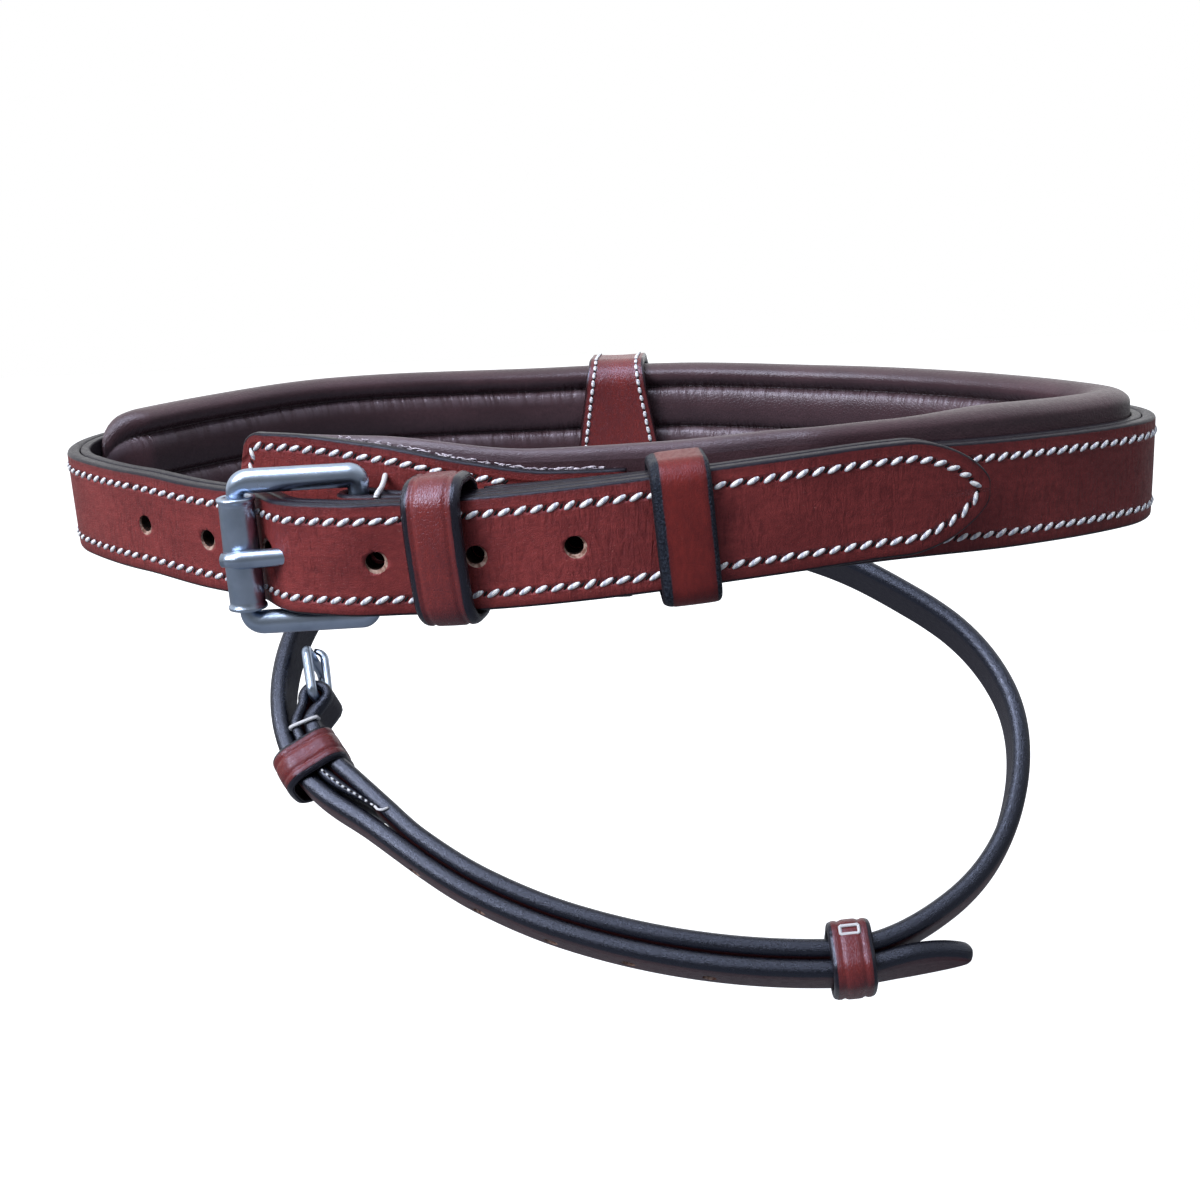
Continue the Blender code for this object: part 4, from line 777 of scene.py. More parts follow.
@dataclass
class Sewing:
    """Rows of saddle stitches: plump slanted grains of thread, and between them dark grains of painted shade
    where the awl left its slots.
    """

    thread: bpy.types.Material
    slot: bpy.types.Material
    pitch: float = 3.0 * MM
    length: float = 2.85 * MM
    width: float = 0.98 * MM
    height: float = 0.8 * MM
    slant: float = math.radians(27)
    slot_sizes: tuple[float, float, float] = (1.55 * MM, 0.55 * MM, 0.24 * MM)
    rows: int = 7
    steps: int = 8

    def grains(self, name: str, centre: np.ndarray, ahead: np.ndarray, face: np.ndarray,
               sizes: tuple[float, float, float], lean: float) -> bpy.types.Mesh:
        """Grains of one shape: half widths a (1 - 0.97 t^2)^0.45 round a line that leans in the surface and dips at
        its ends.

        Args:
            name: name of the mesh.
            centre: (n, 3) places.
            ahead: (n, 3) directions of the row.
            face: (n, 3) directions out of the surface.
            sizes: length, width and height.
            lean: angle between a grain and its row.

        Returns:
            One mesh with all grains.
        """
        length, width, height = sizes
        side = unit(np.cross(face, ahead))
        ahead = unit(np.cross(side, face))
        jitter = np.random.default_rng(len(centre)).normal(0, 1, (len(centre), 3))
        angle = lean + jitter[:, :1] * math.radians(3.0)
        axis = ahead * np.cos(angle) + side * np.sin(angle)
        cross = side * np.cos(angle) - ahead * np.sin(angle)
        t = np.sin(np.linspace(-1, 1, self.rows + 2)[1:-1] * math.pi / 2)
        turn = np.linspace(0, 2 * math.pi, self.steps, endpoint=False)
        swell = np.sqrt(1 - t**2 * 0.97) ** 0.9
        along = (t * length / 2)[None, :, None, None] * (1 + 0.05 * jitter[:, 1])[:, None, None, None]
        rise = (swell[:, None] * np.sin(turn) - 0.35 * t[:, None] ** 2) * height / 2
        points = (centre[:, None, None] + axis[:, None, None] * along
                  + cross[:, None, None] * (swell[:, None] * np.cos(turn) * width / 2)[None, ..., None]
                  + face[:, None, None] * rise[None, ..., None])
        ends = [centre + axis * along[:, end, 0] * 1.06 - face * height * 0.18 for end in (0, -1)]
        count, rows, steps = len(centre), self.rows, self.steps
        vertices = np.concatenate([points.reshape(count, -1, 3), np.stack(ends, axis=1)], axis=1)
        size = vertices.shape[1]
        row, step = np.meshgrid(np.arange(rows - 1), np.arange(steps), indexing="ij")
        after = (step + 1) % steps
        quads = np.stack([row * steps + step, row * steps + after, (row + 1) * steps + after,
                          (row + 1) * steps + step], -1).reshape(-1, 4)
        quad_u = np.stack([row, row, row + 1, row + 1], -1).reshape(-1, 4) / (rows - 1)
        quad_v = np.stack([step, step + 1, step + 1, step], -1).reshape(-1, 4) / steps
        step = np.arange(steps)
        after = (step + 1) % steps
        low = np.stack([after, step, np.full(steps, rows * steps)], -1)
        high = np.stack([(rows - 1) * steps + step, (rows - 1) * steps + after, np.full(steps, rows * steps + 1)], -1)
        first = np.arange(count)[:, None, None] * size
        tips = np.concatenate([low, high])
        faces = (quads[None] + first).reshape(-1, 4).tolist() + (tips[None] + first).reshape(-1, 3).tolist()
        mesh = bpy.data.meshes.new(name)
        mesh.from_pydata(vertices.reshape(-1, 3), [], faces)
        tip_u = np.concatenate([np.zeros((steps, 3)), np.ones((steps, 3))])
        tip_v = np.tile(np.stack([step, step + 1, step + 0.5], -1) / steps, (2, 1))
        uv = [np.tile(np.stack([quad_u, quad_v], -1).reshape(-1, 2), (count, 1)),
              np.tile(np.stack([tip_u, tip_v], -1).reshape(-1, 2), (count, 1))]
        mesh.uv_layers.new(name=UV_NAME).data.foreach_set("uv", np.concatenate(uv).ravel())
        return faced_out(mesh)

    def along_line(self, line: np.ndarray, faces: np.ndarray,
                   offset: float = 0.0) -> tuple[np.ndarray, np.ndarray, np.ndarray]:
        """Places at even steps of the pitch along a line, with the row's direction and the surface's."""
        reach = travelled(line)
        count = max(1, int(reach[-1] / self.pitch))
        places = reach[-1] / count * (0.5 + np.arange(count)) + offset
        read = lambda column, at: np.stack([np.interp(at, reach, part) for part in column.T], axis=-1)
        ahead = unit(read(line, places + 0.6 * MM) - read(line, places - 0.6 * MM))
        return read(line, places), ahead, unit(read(faces, places))

    def sew(self, name: str, body: str, rows: Sequence[tuple[np.ndarray, np.ndarray]], slant: Slant = Slant.RISING,
            scale: float = 1.0) -> None:
        """Sew rows of stitches, each given by its line on the surface and the directions out of it.

        Args:
            name: name of the pieces.
            body: body that they ride on.
            rows: (line, directions) pairs.
            slant: how the stitches lean.
            scale: size of the thread against the plain one.
        """
        stitches = [self.along_line(*row) for row in rows]
        slot_shades = [self.along_line(*row, offset=self.pitch / 2) for row in rows]
        lean = self.slant * slant.value
        # the slots are dark grains of painted shade that stand where the awl's slits are
        for part, places, sizes, sink, material, tilt in (
            ("stitches", stitches, (self.length, self.width, self.height), 0.05 * MM, self.thread, lean),
            ("slot_shades", slot_shades, self.slot_sizes, -0.01 * MM, self.slot, lean * 1.9)):
            centre, ahead, face = (np.concatenate(column) for column in zip(*places))
            sizes = tuple(size * scale for size in sizes)
            mesh = self.grains(f"{name}_{part}", centre + face * sink, ahead, face, sizes, tilt)
            add_piece(mesh, body, material)


def thread_piece(name: str, body: str, points: Sequence[tuple[float, float, float]], normal: Sequence[float],
                 radius: float, thread: bpy.types.Material) -> None:
    """Single length of thread that bends through points, in a plane across the normal.

    Args:
        name: name of the piece.
        body: body that it rides on.
        points: places in metres that it passes through.
        normal: direction out of the plane in which it bends.
        radius: half its thickness.
        thread: its material.
    """
    add_piece(tube_mesh(name, spline(points, 8), np.array(normal, dtype=float), radius, steps=10), body, thread)


# ---------------------------------------------------------------- the noseband


def tapered_tip(along: np.ndarray, end: float, length: float, half_wide: float, bluntness: float) -> np.ndarray:
    """Half width of a strap that narrows to a rounded point: H (b + (1 - b) (1 - x^1.6)^0.6) over its last length."""
    share = np.clip((along - (end - length)) / length, 0, 1)
    return half_wide * (bluntness + (1 - bluntness) * (1 - share**1.6) ** 0.6)


def round_ends(run: Run, reach: float, start: bool = True, end: bool = True) -> Run:
    """Make the thickness run out as a quarter ellipse over the last reach metres of a strap."""
    travel = travelled(run.middle)
    for wanted, off in ((start, travel), (end, travel[-1] - travel)):
        if wanted:
            share = np.clip(1 - off / reach, 0, 1)
            run.half_thick = run.half_thick * np.maximum(np.sqrt(1 - share**2), 0.25)
    return run


def clear_steps(*lists: np.ndarray, closest: float) -> np.ndarray:
    """Sorted places from several lists, without those that nearly repeat."""
    places = np.sort(np.concatenate(lists))
    kept = np.concatenate([[True], np.diff(places) > closest])
    return places[kept]


def punch_holes(piece: bpy.types.Object, run: Run, places: Sequence[tuple[float, float, float, float]],
                walls: tuple[bpy.types.Material, bpy.types.Material], depth: float) -> None:
    """Punch holes through a layer: each is a tube of ellipses that flares at the face, cut away from the layer.

    Args:
        piece: the layer.
        run: stations of the face that the holes start from.
        places: for each hole its place, half length and half height, and how far its pale rim is shifted upwards.
        walls: leather of the holes' raw walls: a dark copy for their painted shade, a pale copy for their painted lit
            rims.
        depth: how far below the face they reach.
    """
    turn = np.linspace(0, 2 * math.pi, 28, endpoint=False)
    flare = np.array([[3 * MM, 1.3], [0.0, 1.2], [-0.4 * MM, 1.0], [-0.6 * depth, 1.0], [-depth, 1.0]])
    cutters = []
    for place, half_long, half_high, worn in places:
        centre, face = (column[0] for column in run.on_face(np.array([place]), 0.0))
        up = unit(run.value(run.up, np.array([place])))[0]
        ahead = np.cross(up, face)
        tube = np.stack([centre + face * out + np.outer((np.cos(turn) * grow + (grow > 1) * 0.16) * half_long, ahead)
                         + np.outer((np.sin(turn) * grow + (grow > 1) * worn) * half_high, up) for out, grow in flare])
        mesh = grid_mesh("punch", tube, np.zeros(len(tube)), np.zeros((len(tube), len(turn) + 1)), False, 0.0)
        for wall in walls:
            mesh.materials.append(wall)
        # the flare's faces take the pale copy: the raw wall with painted light on the rim
        rim = np.zeros(len(mesh.polygons), dtype=int)
        rim[: 2 * len(turn)] = 1
        mesh.polygons.foreach_set("material_index", rim)
        cutter = bpy.data.objects.new(mesh.name, mesh)
        cutters.append(cutter)
        bpy.context.scene.collection.objects.link(cutter)
        cut = piece.modifiers.new(mesh.name, "BOOLEAN")
        cut.operation, cut.solver, cut.object, cut.material_mode = "DIFFERENCE", "EXACT", cutter, "TRANSFER"
    bpy.context.view_layer.update()
    solid = bpy.data.meshes.new_from_object(piece.evaluated_get(bpy.context.evaluated_depsgraph_get()))
    solid.name = piece.data.name
    piece.modifiers.clear()
    piece.data = solid
    for cutter in cutters:
        bpy.data.objects.remove(cutter, do_unlink=True)


@dataclass
class Ring:
    """What every layer of the noseband shares: the plan, the layers' places out of it and their heights."""

    plan: Oval = field(default_factory=lambda: Oval(165 * MM, 140 * MM, 25 * MM, 137 * MM))
    half_wide: float = 10.75 * MM
    face_thick: float = 2.8 * MM
    backing_thick: float = 1.9 * MM
    layer_gap: float = 0.36 * MM
    skived: float = 1.8 * MM
    heel_along: float = -41 * MM
    heel_out: float = -2.85 * MM
    bar: float = 2.0 * MM
    clearance: float = 0.45 * MM
    billet_start: float = -100 * MM
    tip_along: float = 80 * MM
    tip_length: float = 17 * MM
    fixed_keeper: float = -21.5 * MM
    running_keeper: float = 22 * MM
    roller: tuple[float, float] = (-61.8 * MM, 7.3 * MM)
    side_play: float = 1.2 * MM
    strap_lifts: list = field(default_factory=lambda: millimetres([
        (-28, -1.8), (-14, -0.9), (40, 2.0), (60, 2.3), (90, 1.2), (125, -0.2), (160, -0.9), (235, -0.8), (280, 0.0),
        (309, 0.0), (385, 2.2), (415, 1.6), (440, 0.9), (488.5, -0.6)]))
    billet_lifts: list = field(default_factory=lambda: millimetres([
        (-100, -0.6), (-78, -1.6), (-64, -1.8), (-28, -1.8), (-14, -0.9), (40, 3.5), (60, 4.4)]))

    @property
    def thick(self) -> float:
        """Thickness of face leather and backing together."""
        return self.face_thick + self.layer_gap + self.backing_thick

    @property
    def billet_flat(self) -> float:
        """How far the billet's face stands out where it lies on the strap."""
        return self.thick + 0.45 * MM

    def strap_lift(self, along: np.ndarray) -> np.ndarray:
        """Height of the strap's middle."""
        return eased(along, self.strap_lifts)

    def billet_lift(self, along: np.ndarray) -> np.ndarray:
        """Height of the billet's middle."""
        return eased(along, self.billet_lifts)

    def billet_out(self, along: np.ndarray) -> np.ndarray:
        """Outer face of the billet: it climbs over the heel bar and comes down through the fixed keeper."""
        knots = millimetres([(-100, 0), (-64, 1.8), (-48.5, 9.2), (-40, 9.2), (-27, 6.4)])
        return eased(along, [*knots, (-14 * MM, self.billet_flat)])

    def keeper_place(self, along: float) -> tuple[float, float, float]:
        """Middle height, climb and half difference of the two straps at a keeper."""
        reach = 6 * MM
        ends = np.array([along - reach, along + reach])
        strap, billet = self.strap_lift(ends), self.billet_lift(ends)
        slope = float((strap[1] - strap[0] + billet[1] - billet[0]) / (4 * reach))
        apart = abs(float(self.billet_lift(np.array(along)) - self.strap_lift(np.array(along)))) / 2
        return float(strap.sum() + billet.sum()) / 4, slope, apart


@dataclass
class NoseStrap:
    """Face leather and backing of the nose strap, with its punched billet and two rows of stitches."""

    ring: Ring
    sewing: Sewing
    step: float = 1.3 * MM
    row_inset: float = 3.25 * MM
    holes: tuple[float, ...] = tuple(place * MM for place in (-97, -76.5, -34, -15.5, 2.4, 20))
    hole_diameter: float = 3.5 * MM
    turn_back: float = -16 * MM
    tongue_slot: tuple[float, float] = (-58.5 * MM, -53.5 * MM)
    slot_half_high: float = 2.15 * MM
    punch_depth: float = 9 * MM
    leaves_keeper: float = -27 * MM
    chape_along: float = -35.2 * MM

    def half_sizes(self, along: np.ndarray) -> np.ndarray:
        """Half width of the billet."""
        ring = self.ring
        return tapered_tip(along, ring.tip_along, ring.tip_length, ring.half_wide, 0.05)

    def billet_places(self) -> np.ndarray:
        """Stations of the billet, crowded towards its point."""
        ring = self.ring
        tip = ring.tip_along - ring.tip_length + ring.tip_length * np.sin(np.linspace(0, math.pi / 2, 40))
        plain = np.arange(ring.billet_start, ring.tip_along - ring.tip_length, self.step)
        return clear_steps(plain, tip, closest=0.05 * MM)

    def layer_run(self, thick: float, shift: float, start: float, folded: bool) -> Run:
        """Run of one layer.

        Args:
            thick: its thickness.
            shift: how far its middle lies out of the middle of both layers, to the face's side.
            start: where it starts along the ring.
            folded: whether it starts with the turn-back and the fold round the heel bar.
        """
        ring, plan = self.ring, self.ring.plan
        billet = self.billet_places()
        billet_middle = plan.at(billet, ring.billet_out(billet) - ring.thick / 2)
        step = np.gradient(billet_middle, axis=0)
        side = unit(np.column_stack([step[:, 1], -step[:, 0]]))
        billet_path = billet_middle + side * shift
        radius = ring.bar + ring.clearance + ring.skived / 2
        face_in = -ring.thick / 2 + shift
        lap = np.arange(start, plan.length + ring.billet_start - 0.4 * self.step, self.step)
        if folded:
            out = eased(lap, [(ring.heel_along, ring.heel_out + radius), (self.leaves_keeper, face_in),
                              (plan.length, face_in)])
            sizes = eased(lap, [(ring.heel_along, ring.skived), (self.leaves_keeper, thick), (plan.length, thick)])
        else:
            out, sizes = np.full(len(lap), face_in), np.full(len(lap), thick)
        path = [plan.at(lap, out), billet_path]
        thickness = [sizes, np.full(len(billet), thick)]
        lift = [ring.strap_lift(lap), ring.billet_lift(billet)]
        half = [np.full(len(lap), ring.half_wide), self.half_sizes(billet)]
        place = [lap, billet + plan.length]
        if folded:
            inner = np.arange(self.turn_back, ring.heel_along, -self.step)
            layer_in = -ring.thick + ring.backing_thick / 2
            inner_out = eased(inner, [(ring.heel_along, ring.heel_out - radius), (-33.5 * MM, layer_in),
                                      (0.0, layer_in)])
            turn = np.linspace(0, math.pi, 15)[1:-1]
            outward = plan.outward(ring.heel_along)
            angle = math.atan2(outward[1], outward[0]) + turn - math.pi
            fold = plan.point(ring.heel_along, ring.heel_out) + radius * np.column_stack([np.cos(angle), np.sin(angle)])
            path = [plan.at(inner, inner_out), fold, *path]
            thickness = [np.full(len(inner) + len(fold), ring.skived), *thickness]
            lift = [np.full(len(inner) + len(fold), float(ring.strap_lift(np.array(ring.heel_along)))), *lift]
            half = [np.full(len(inner) + len(fold), ring.half_wide), *half]
            place = [2 * ring.heel_along - inner, ring.heel_along + np.linspace(0, 1e-6, len(fold)), *place]
        full = [np.concatenate(parts) for parts in (place, path, thickness, half, lift)]
        return Run.in_plan(full[0], full[1], full[2] / 2, full[3], full[4])

    def billet_run(self) -> Run:
        """Both layers of the billet as one run, for what lies on its face."""
        ring = self.ring
        billet = self.billet_places()
        path = ring.plan.at(billet, ring.billet_out(billet) - ring.thick / 2)
        return Run.in_plan(billet, path, ring.thick / 2, self.half_sizes(billet), ring.billet_lift(billet))

    def strap_run(self) -> Run:
        """The strap's face beyond the fixed keeper, once round to the billet."""
        ring = self.ring
        lap = np.arange(self.leaves_keeper, ring.plan.length + ring.billet_start + self.step, self.step)
        path = ring.plan.at(lap, -ring.face_thick / 2)
        return Run.in_plan(lap, path, ring.face_thick / 2, ring.half_wide, ring.strap_lift(lap))

    def punch(self, piece: bpy.types.Object, walls: tuple[bpy.types.Material, bpy.types.Material]) -> None:
        """Punch the billet's holes and the worn hole under the tongue through a layer."""
        half = self.hole_diameter / 2
        first, last = self.tongue_slot
        places = [(along, half, half, RIM_UP) for along in self.holes]
        places.append(((first + last) / 2, (last - first) / 2, self.slot_half_high, 0.1))
        punch_holes(piece, self.billet_run(), places, walls, self.punch_depth)

    def chape_stitch(self, guard_face: float) -> None:
        """Stitch that closes the fold beside the buckle: out of the guard, over the layers and under the billet."""
        ring = self.ring
        top = float(ring.strap_lift(np.array(self.chape_along))) + ring.half_wide
        along = self.chape_along - np.array([2.6, 2.5, 1.8, 0.9, 0.0, 0.0]) * MM
        out = np.array([guard_face - 0.3 * MM, guard_face + 0.3 * MM, -6.0 * MM, -3.0 * MM, 0.6 * MM, 1.0 * MM])
        height = top + np.array([1.7, 1.95, 1.35, 0.75, 0.4, 0.0]) * MM
        points = np.column_stack([ring.plan.at(along, out), height])
        normal = np.cross(ring.plan.outward(self.chape_along), (0, 0, 1))
        thread_piece("chape_stitch", "noseband", points, normal, 0.55 * MM, self.sewing.thread)

    def rows(self) -> list[tuple[np.ndarray, np.ndarray]]:
        """Lines of the stitch rows: along both sides of the billet and round its point, and on round the ring."""
        ring = self.ring
        billet = self.billet_run()
        half = self.half_sizes(billet.place)
        outline = np.column_stack([billet.place, half])
        step = np.gradient(outline, axis=0)
        inward = unit(np.column_stack([step[:, 1], -step[:, 0]]))
        inner = outline + inward * self.row_inset
        inner = inner[inner[:, 1] > 0.2 * MM]
        loop = np.concatenate([inner * (1, -1), inner[::-1]])
        lines = [billet.on_face(loop[:, 0], loop[:, 1])]
        strap = self.strap_run()
        lap = strap.place[(strap.place > -12 * MM) & (strap.place < ring.plan.length + ring.billet_start + 0.4 * MM)]
        for side in (1, -1):
            lines.append(strap.on_face(lap, side * (ring.half_wide - self.row_inset)))
        return lines

    def build(self, leather: bpy.types.Material, backing: bpy.types.Material,
              walls: tuple[bpy.types.Material, bpy.types.Material]) -> None:
        """Make both layers, punch them and sew them."""
        ring = self.ring
        grown = 0.3 * MM
        face_run = self.layer_run(ring.face_thick, (ring.thick - ring.face_thick) / 2, ring.heel_along, True)
        face_run = round_ends(face_run, 0.9 * MM)
        section = Section(0.75 * MM, crown=0.05 * MM, face_steps=22)
        tip = face_run.place > ring.plan.length + ring.tip_along - ring.tip_length - 4 * MM
        strap = add_piece(band_mesh("bridle_strap", face_run, section, ring.half_wide, tip), "noseband", leather)
        self.punch(strap, walls)
        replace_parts(strap, "nose_strap")
        back_run = self.layer_run(ring.backing_thick, -(ring.thick - ring.backing_thick) / 2 + grown / 2,
                                  self.turn_back + 0.6 * MM, False)
        back_run.half_thick = back_run.half_thick + grown / 2
        back_run = round_ends(back_run, 0.7 * MM)
        back_mesh = band_mesh("strap_back", back_run, Section(0.5 * MM, face_steps=8), ring.half_wide)
        back_layer = add_piece(back_mesh, "noseband", backing)
        self.punch(back_layer, walls)
        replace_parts(back_layer, "strap_backing")
        self.sewing.sew("strap", "noseband", self.rows())


@dataclass
class Lining:
    """Padded lining: two pairs of soft rolls between sewn seams, flat behind the guard."""

    ring: Ring
    guard_out: float = -8.3 * MM
    guard_thick: float = 2.2 * MM
    start: float = -74 * MM
    guard_end: float = 12 * MM
    full_along: float = 52 * MM
    step_along: float = 40 * MM
    swell: float = 65 * MM
    end: float = 0.4440
    step: float = 1.6 * MM
    lower_share: list = field(default_factory=lambda: [(-74 * MM, 0.8), (145 * MM, 0.8), (190 * MM, 1.0)])
    outer_roll: tuple = ((0.0, 12.4), (0.35, 14.3), (2.4, 15.7), (6.2, 16.0), (9.1, 14.5), (9.2, 12.2), (7.0, 10.4))
    inner_roll: tuple = ((7.0, 10.4), (8.8, 9.0), (9.4, 5.3), (8.8, 1.6), (7.0, 0.0))
    flat_outer: tuple = ((0.0, 12.0), (0.1, 13.1), (0.6, 14.0), (1.4, 14.3), (2.2, 14.0), (2.5, 12.6), (2.3, 10.4))
    flat_inner: tuple = ((2.3, 10.4), (2.5, 9.0), (2.6, 5.3), (2.5, 1.6), (2.3, 0.0))

    def profile(self, outer: tuple, inner: tuple) -> np.ndarray:
        """Whole section as (depth, height) from the lower back corner over the rolls to the upper one."""
        upper = np.concatenate([spline(outer, 4), spline(inner, 5)[1:]])
        return np.concatenate([upper, upper[::-1][1:] * (1, -1)]) * MM

    def seam_places(self) -> tuple[float, ...]:
        """Distance of the seams from the middle seam, round the section."""
        half = self.profile(self.outer_roll, self.inner_roll)
        middle = len(half) // 2
        reach = travelled(half)
        upper_seam = len(spline(self.outer_roll, 4)) - 1
        return 0.0, float(reach[middle] - reach[upper_seam])

    def fullness(self, along: np.ndarray) -> np.ndarray:
        """How far the rolls are padded out."""
        return eased(along, [(self.guard_end - 30 * MM, 0.0), (self.guard_end + 15 * MM, 0.25), (self.swell, 0.35),
                             (self.swell + 28 * MM, 1.0), (self.end - 14 * MM, 1.0), (self.end, 0.35)])

    def back(self, along: np.ndarray) -> np.ndarray:
        """Outer side: behind the guard, behind the running keeper's way, then on the backing."""
        behind_guard = self.guard_out - self.guard_thick - 0.2 * MM
        on_backing = -self.ring.thick - 0.1 * MM
        return eased(along, [(self.start, behind_guard), (self.guard_end, behind_guard),
                             (self.step_along, self.guard_out), (self.full_along, on_backing),
                             (self.ring.plan.length, on_backing)])

    def middle(self, along: np.ndarray) -> np.ndarray:
        """Height of the middle, which rises to the left behind the guard."""
        on_strap = eased(along, [(self.guard_end, 0.0), (self.full_along, 1.0)])
        behind_guard = eased(along, millimetres([(-42, 3.6), (-6, 0.8)]))
        return behind_guard * (1 - on_strap) + self.ring.strap_lift(along) * on_strap

    def build(self, material: bpy.types.Material) -> None:
        """Make the lining as one closed padded form; its hems lie on the strap's backing."""
        along = np.arange(self.start, self.end, self.step)
        along = clear_steps(along, [self.end], self.end - 3 * MM * (1 - np.sin(np.linspace(0, math.pi / 2, 7))),
                            self.start + 2 * MM * (1 - np.sin(np.linspace(0, math.pi / 2, 5))), closest=0.1 * MM)
        full = self.fullness(along)[:, None, None]
        padded, flat = self.profile(self.outer_roll, self.inner_roll), self.profile(self.flat_outer, self.flat_inner)
        section = padded * full + flat * (1 - full)
        off_end = np.minimum(self.end - along, 9 * MM) / (9 * MM)
        off_start = np.minimum(along - self.start, 2 * MM) / (2 * MM)
        close = np.sqrt(np.maximum(1 - (1 - off_end) ** 2, 0.02)) * np.sqrt(np.maximum(1 - (1 - off_start) ** 2, 0.3))
        section = section * np.stack([np.maximum(close, 0.2), 0.55 + 0.45 * close], axis=-1)[:, None, :]
        flatter = eased(along, self.lower_share)[:, None]
        section[:, :, 1] = np.where(section[:, :, 1] < 0, section[:, :, 1] * flatter, section[:, :, 1])
        wave = soft_noise(along, 19 * MM, 3)[:, None] * 0.25 * MM + soft_noise(along, 7 * MM, 8)[:, None] * 0.1 * MM
        depth = section[:, :, 0] + wave * np.clip(section[:, :, 0] / (6 * MM), 0, 1) * full[:, :, 0]
        rows, columns = depth.shape
        plan = self.ring.plan.at(np.repeat(along, columns), (self.back(along)[:, None] - depth).ravel())
        height = (self.middle(along)[:, None] + section[:, :, 1]).ravel()
        points = np.column_stack([plan, height]).reshape(rows, columns, 3)
        reach = travelled(padded)
        across = np.append(reach - reach[columns // 2], reach[-1] - reach[columns // 2] + 24 * MM)
        mesh = grid_mesh("padded_lining", points, along - along[0], np.tile(across, (rows, 1)), False, 20 * MM)
        piece = add_piece(mesh, "noseband", material)
        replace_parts(piece, "nose_lining", "lining_pad_top", "lining_pad_upper", "lining_pad_lower", "lining_pad_bottom")


@dataclass
class Guard:
    """Leather guard behind the buckle: a flat flap with a slanted rounded end, stitched round its rim."""

    ring: Ring
    sewing: Sewing
    start: float = -72.5 * MM
    end: float = 12 * MM
    out: float = -8.3 * MM
    thick: float = 2.2 * MM
    half_high: float = 12.5 * MM
    corner: float = 3.5 * MM
    row_inset: float = 2.7 * MM
    row_end: float = -12 * MM
    fibres: int = 220
    slant: float = 3.5 * MM
    slant_reach: float = 16 * MM

    def lift(self, along: np.ndarray) -> np.ndarray:
        """Height of its middle."""
        return eased(along, millimetres([(-62, 6.0), (-40, 4.3), (-20, 1.0), (-4, -1.0), (6, -1.1)]))

    def half(self, along: np.ndarray) -> np.ndarray:
        """Half height: the corner is a quarter circle."""
        into = np.clip(self.start + self.corner - along, 0, self.corner)
        return self.half_high - self.corner + np.sqrt(np.maximum(self.corner**2 - into**2, 0))

    def build(self, leather: bpy.types.Material) -> None:
        """Make the flap and its stitches."""
        corner = self.start + self.corner * (1 - np.cos(np.linspace(0, math.pi / 2, 12)))
        along = clear_steps(corner, np.arange(self.start, self.end, 1.4 * MM), [self.end], closest=0.05 * MM)
        path = self.ring.plan.at(along, self.out - self.thick / 2)
        run = Run.in_plan(along, path, self.thick / 2, self.half(along), self.lift(along))
        run = round_ends(run, 0.8 * MM)
        mesh = band_mesh("buckle_guard_leather", run, Section(0.6 * MM, face_steps=24), self.half_high,
                         along < self.start + 8 * MM)
        self.shear(mesh)
        guard = add_piece(mesh, "noseband", leather)
        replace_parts(guard, "buckle_guard")
        place = np.arange(self.start + self.row_inset, self.row_end, 0.8 * MM)
        inner = self.half_high - self.row_inset - np.maximum(0, 1.6 * MM - (place - place[0])) * 0.7
        top, face = run.on_face(place, inner)
        left_across = np.linspace(-inner[0], inner[0], 20)
        left, left_face = run.on_face(np.full(20, place[0] + 0.4 * MM), left_across)
        rows = [(self.sheared(np.concatenate([left, top])), np.concatenate([left_face, face]))]
        self.sewing.sew("guard", "noseband", rows)

    def fray(self, fluff: bpy.types.Material) -> None:
        """Pale fibres that stand out of the cut edge behind the guard, most of them near the running keeper."""
        chance = np.random.default_rng(12)
        along = chance.triangular(-52 * MM, 6 * MM, self.end - 1 * MM, self.fibres)
        out = self.out - self.thick + chance.uniform(-0.5, 0.1, self.fibres) * MM
        height = self.lift(along) + self.half_high + chance.uniform(-0.25, 0.3, self.fibres) * MM
        centre = np.column_stack([self.ring.plan.at(along, out), height])
        climb = self.lift(along + 1 * MM) - self.lift(along)
        onward = np.column_stack([self.ring.plan.at(along + 1 * MM, out), height + climb])
        ahead = unit(unit(onward - centre) + chance.normal(0, 0.22, (self.fibres, 3)))
        facing = np.tile([0.0, -0.6, 0.8], (self.fibres, 1))
        mesh = self.sewing.grains("frayed_fibres", centre, ahead, facing, (1.1 * MM, 0.24 * MM, 0.24 * MM), 0.0)
        add_piece(mesh, "noseband", fluff)

    def sheared(self, points: np.ndarray) -> np.ndarray:
        """Points with the free end slanted: each moves left by slant x (top - height) / half height, up to slant,
        and less the further it is from the end."""
        first = self.ring.plan.point(self.start, self.out)
        ahead = unit(self.ring.plan.point(self.start + 10 * MM, self.out) - first)
        from_end = (points[:, :2] - first) @ ahead
        top = float(self.lift(np.array(self.start))) + self.half_high
        share = np.clip((top - points[:, 2]) / self.half_high, 0, 1) * np.clip(1 - from_end / self.slant_reach, 0, 1)
        shifted = points.copy()
        shifted[:, :2] -= ahead * (self.slant * share)[:, None]
        return shifted

    def shear(self, mesh: bpy.types.Mesh) -> None:
        """Slant the mesh's end."""
        points = np.empty(len(mesh.vertices) * 3)
        mesh.vertices.foreach_get("co", points)
        mesh.vertices.foreach_set("co", self.sheared(points.reshape(-1, 3)).ravel())


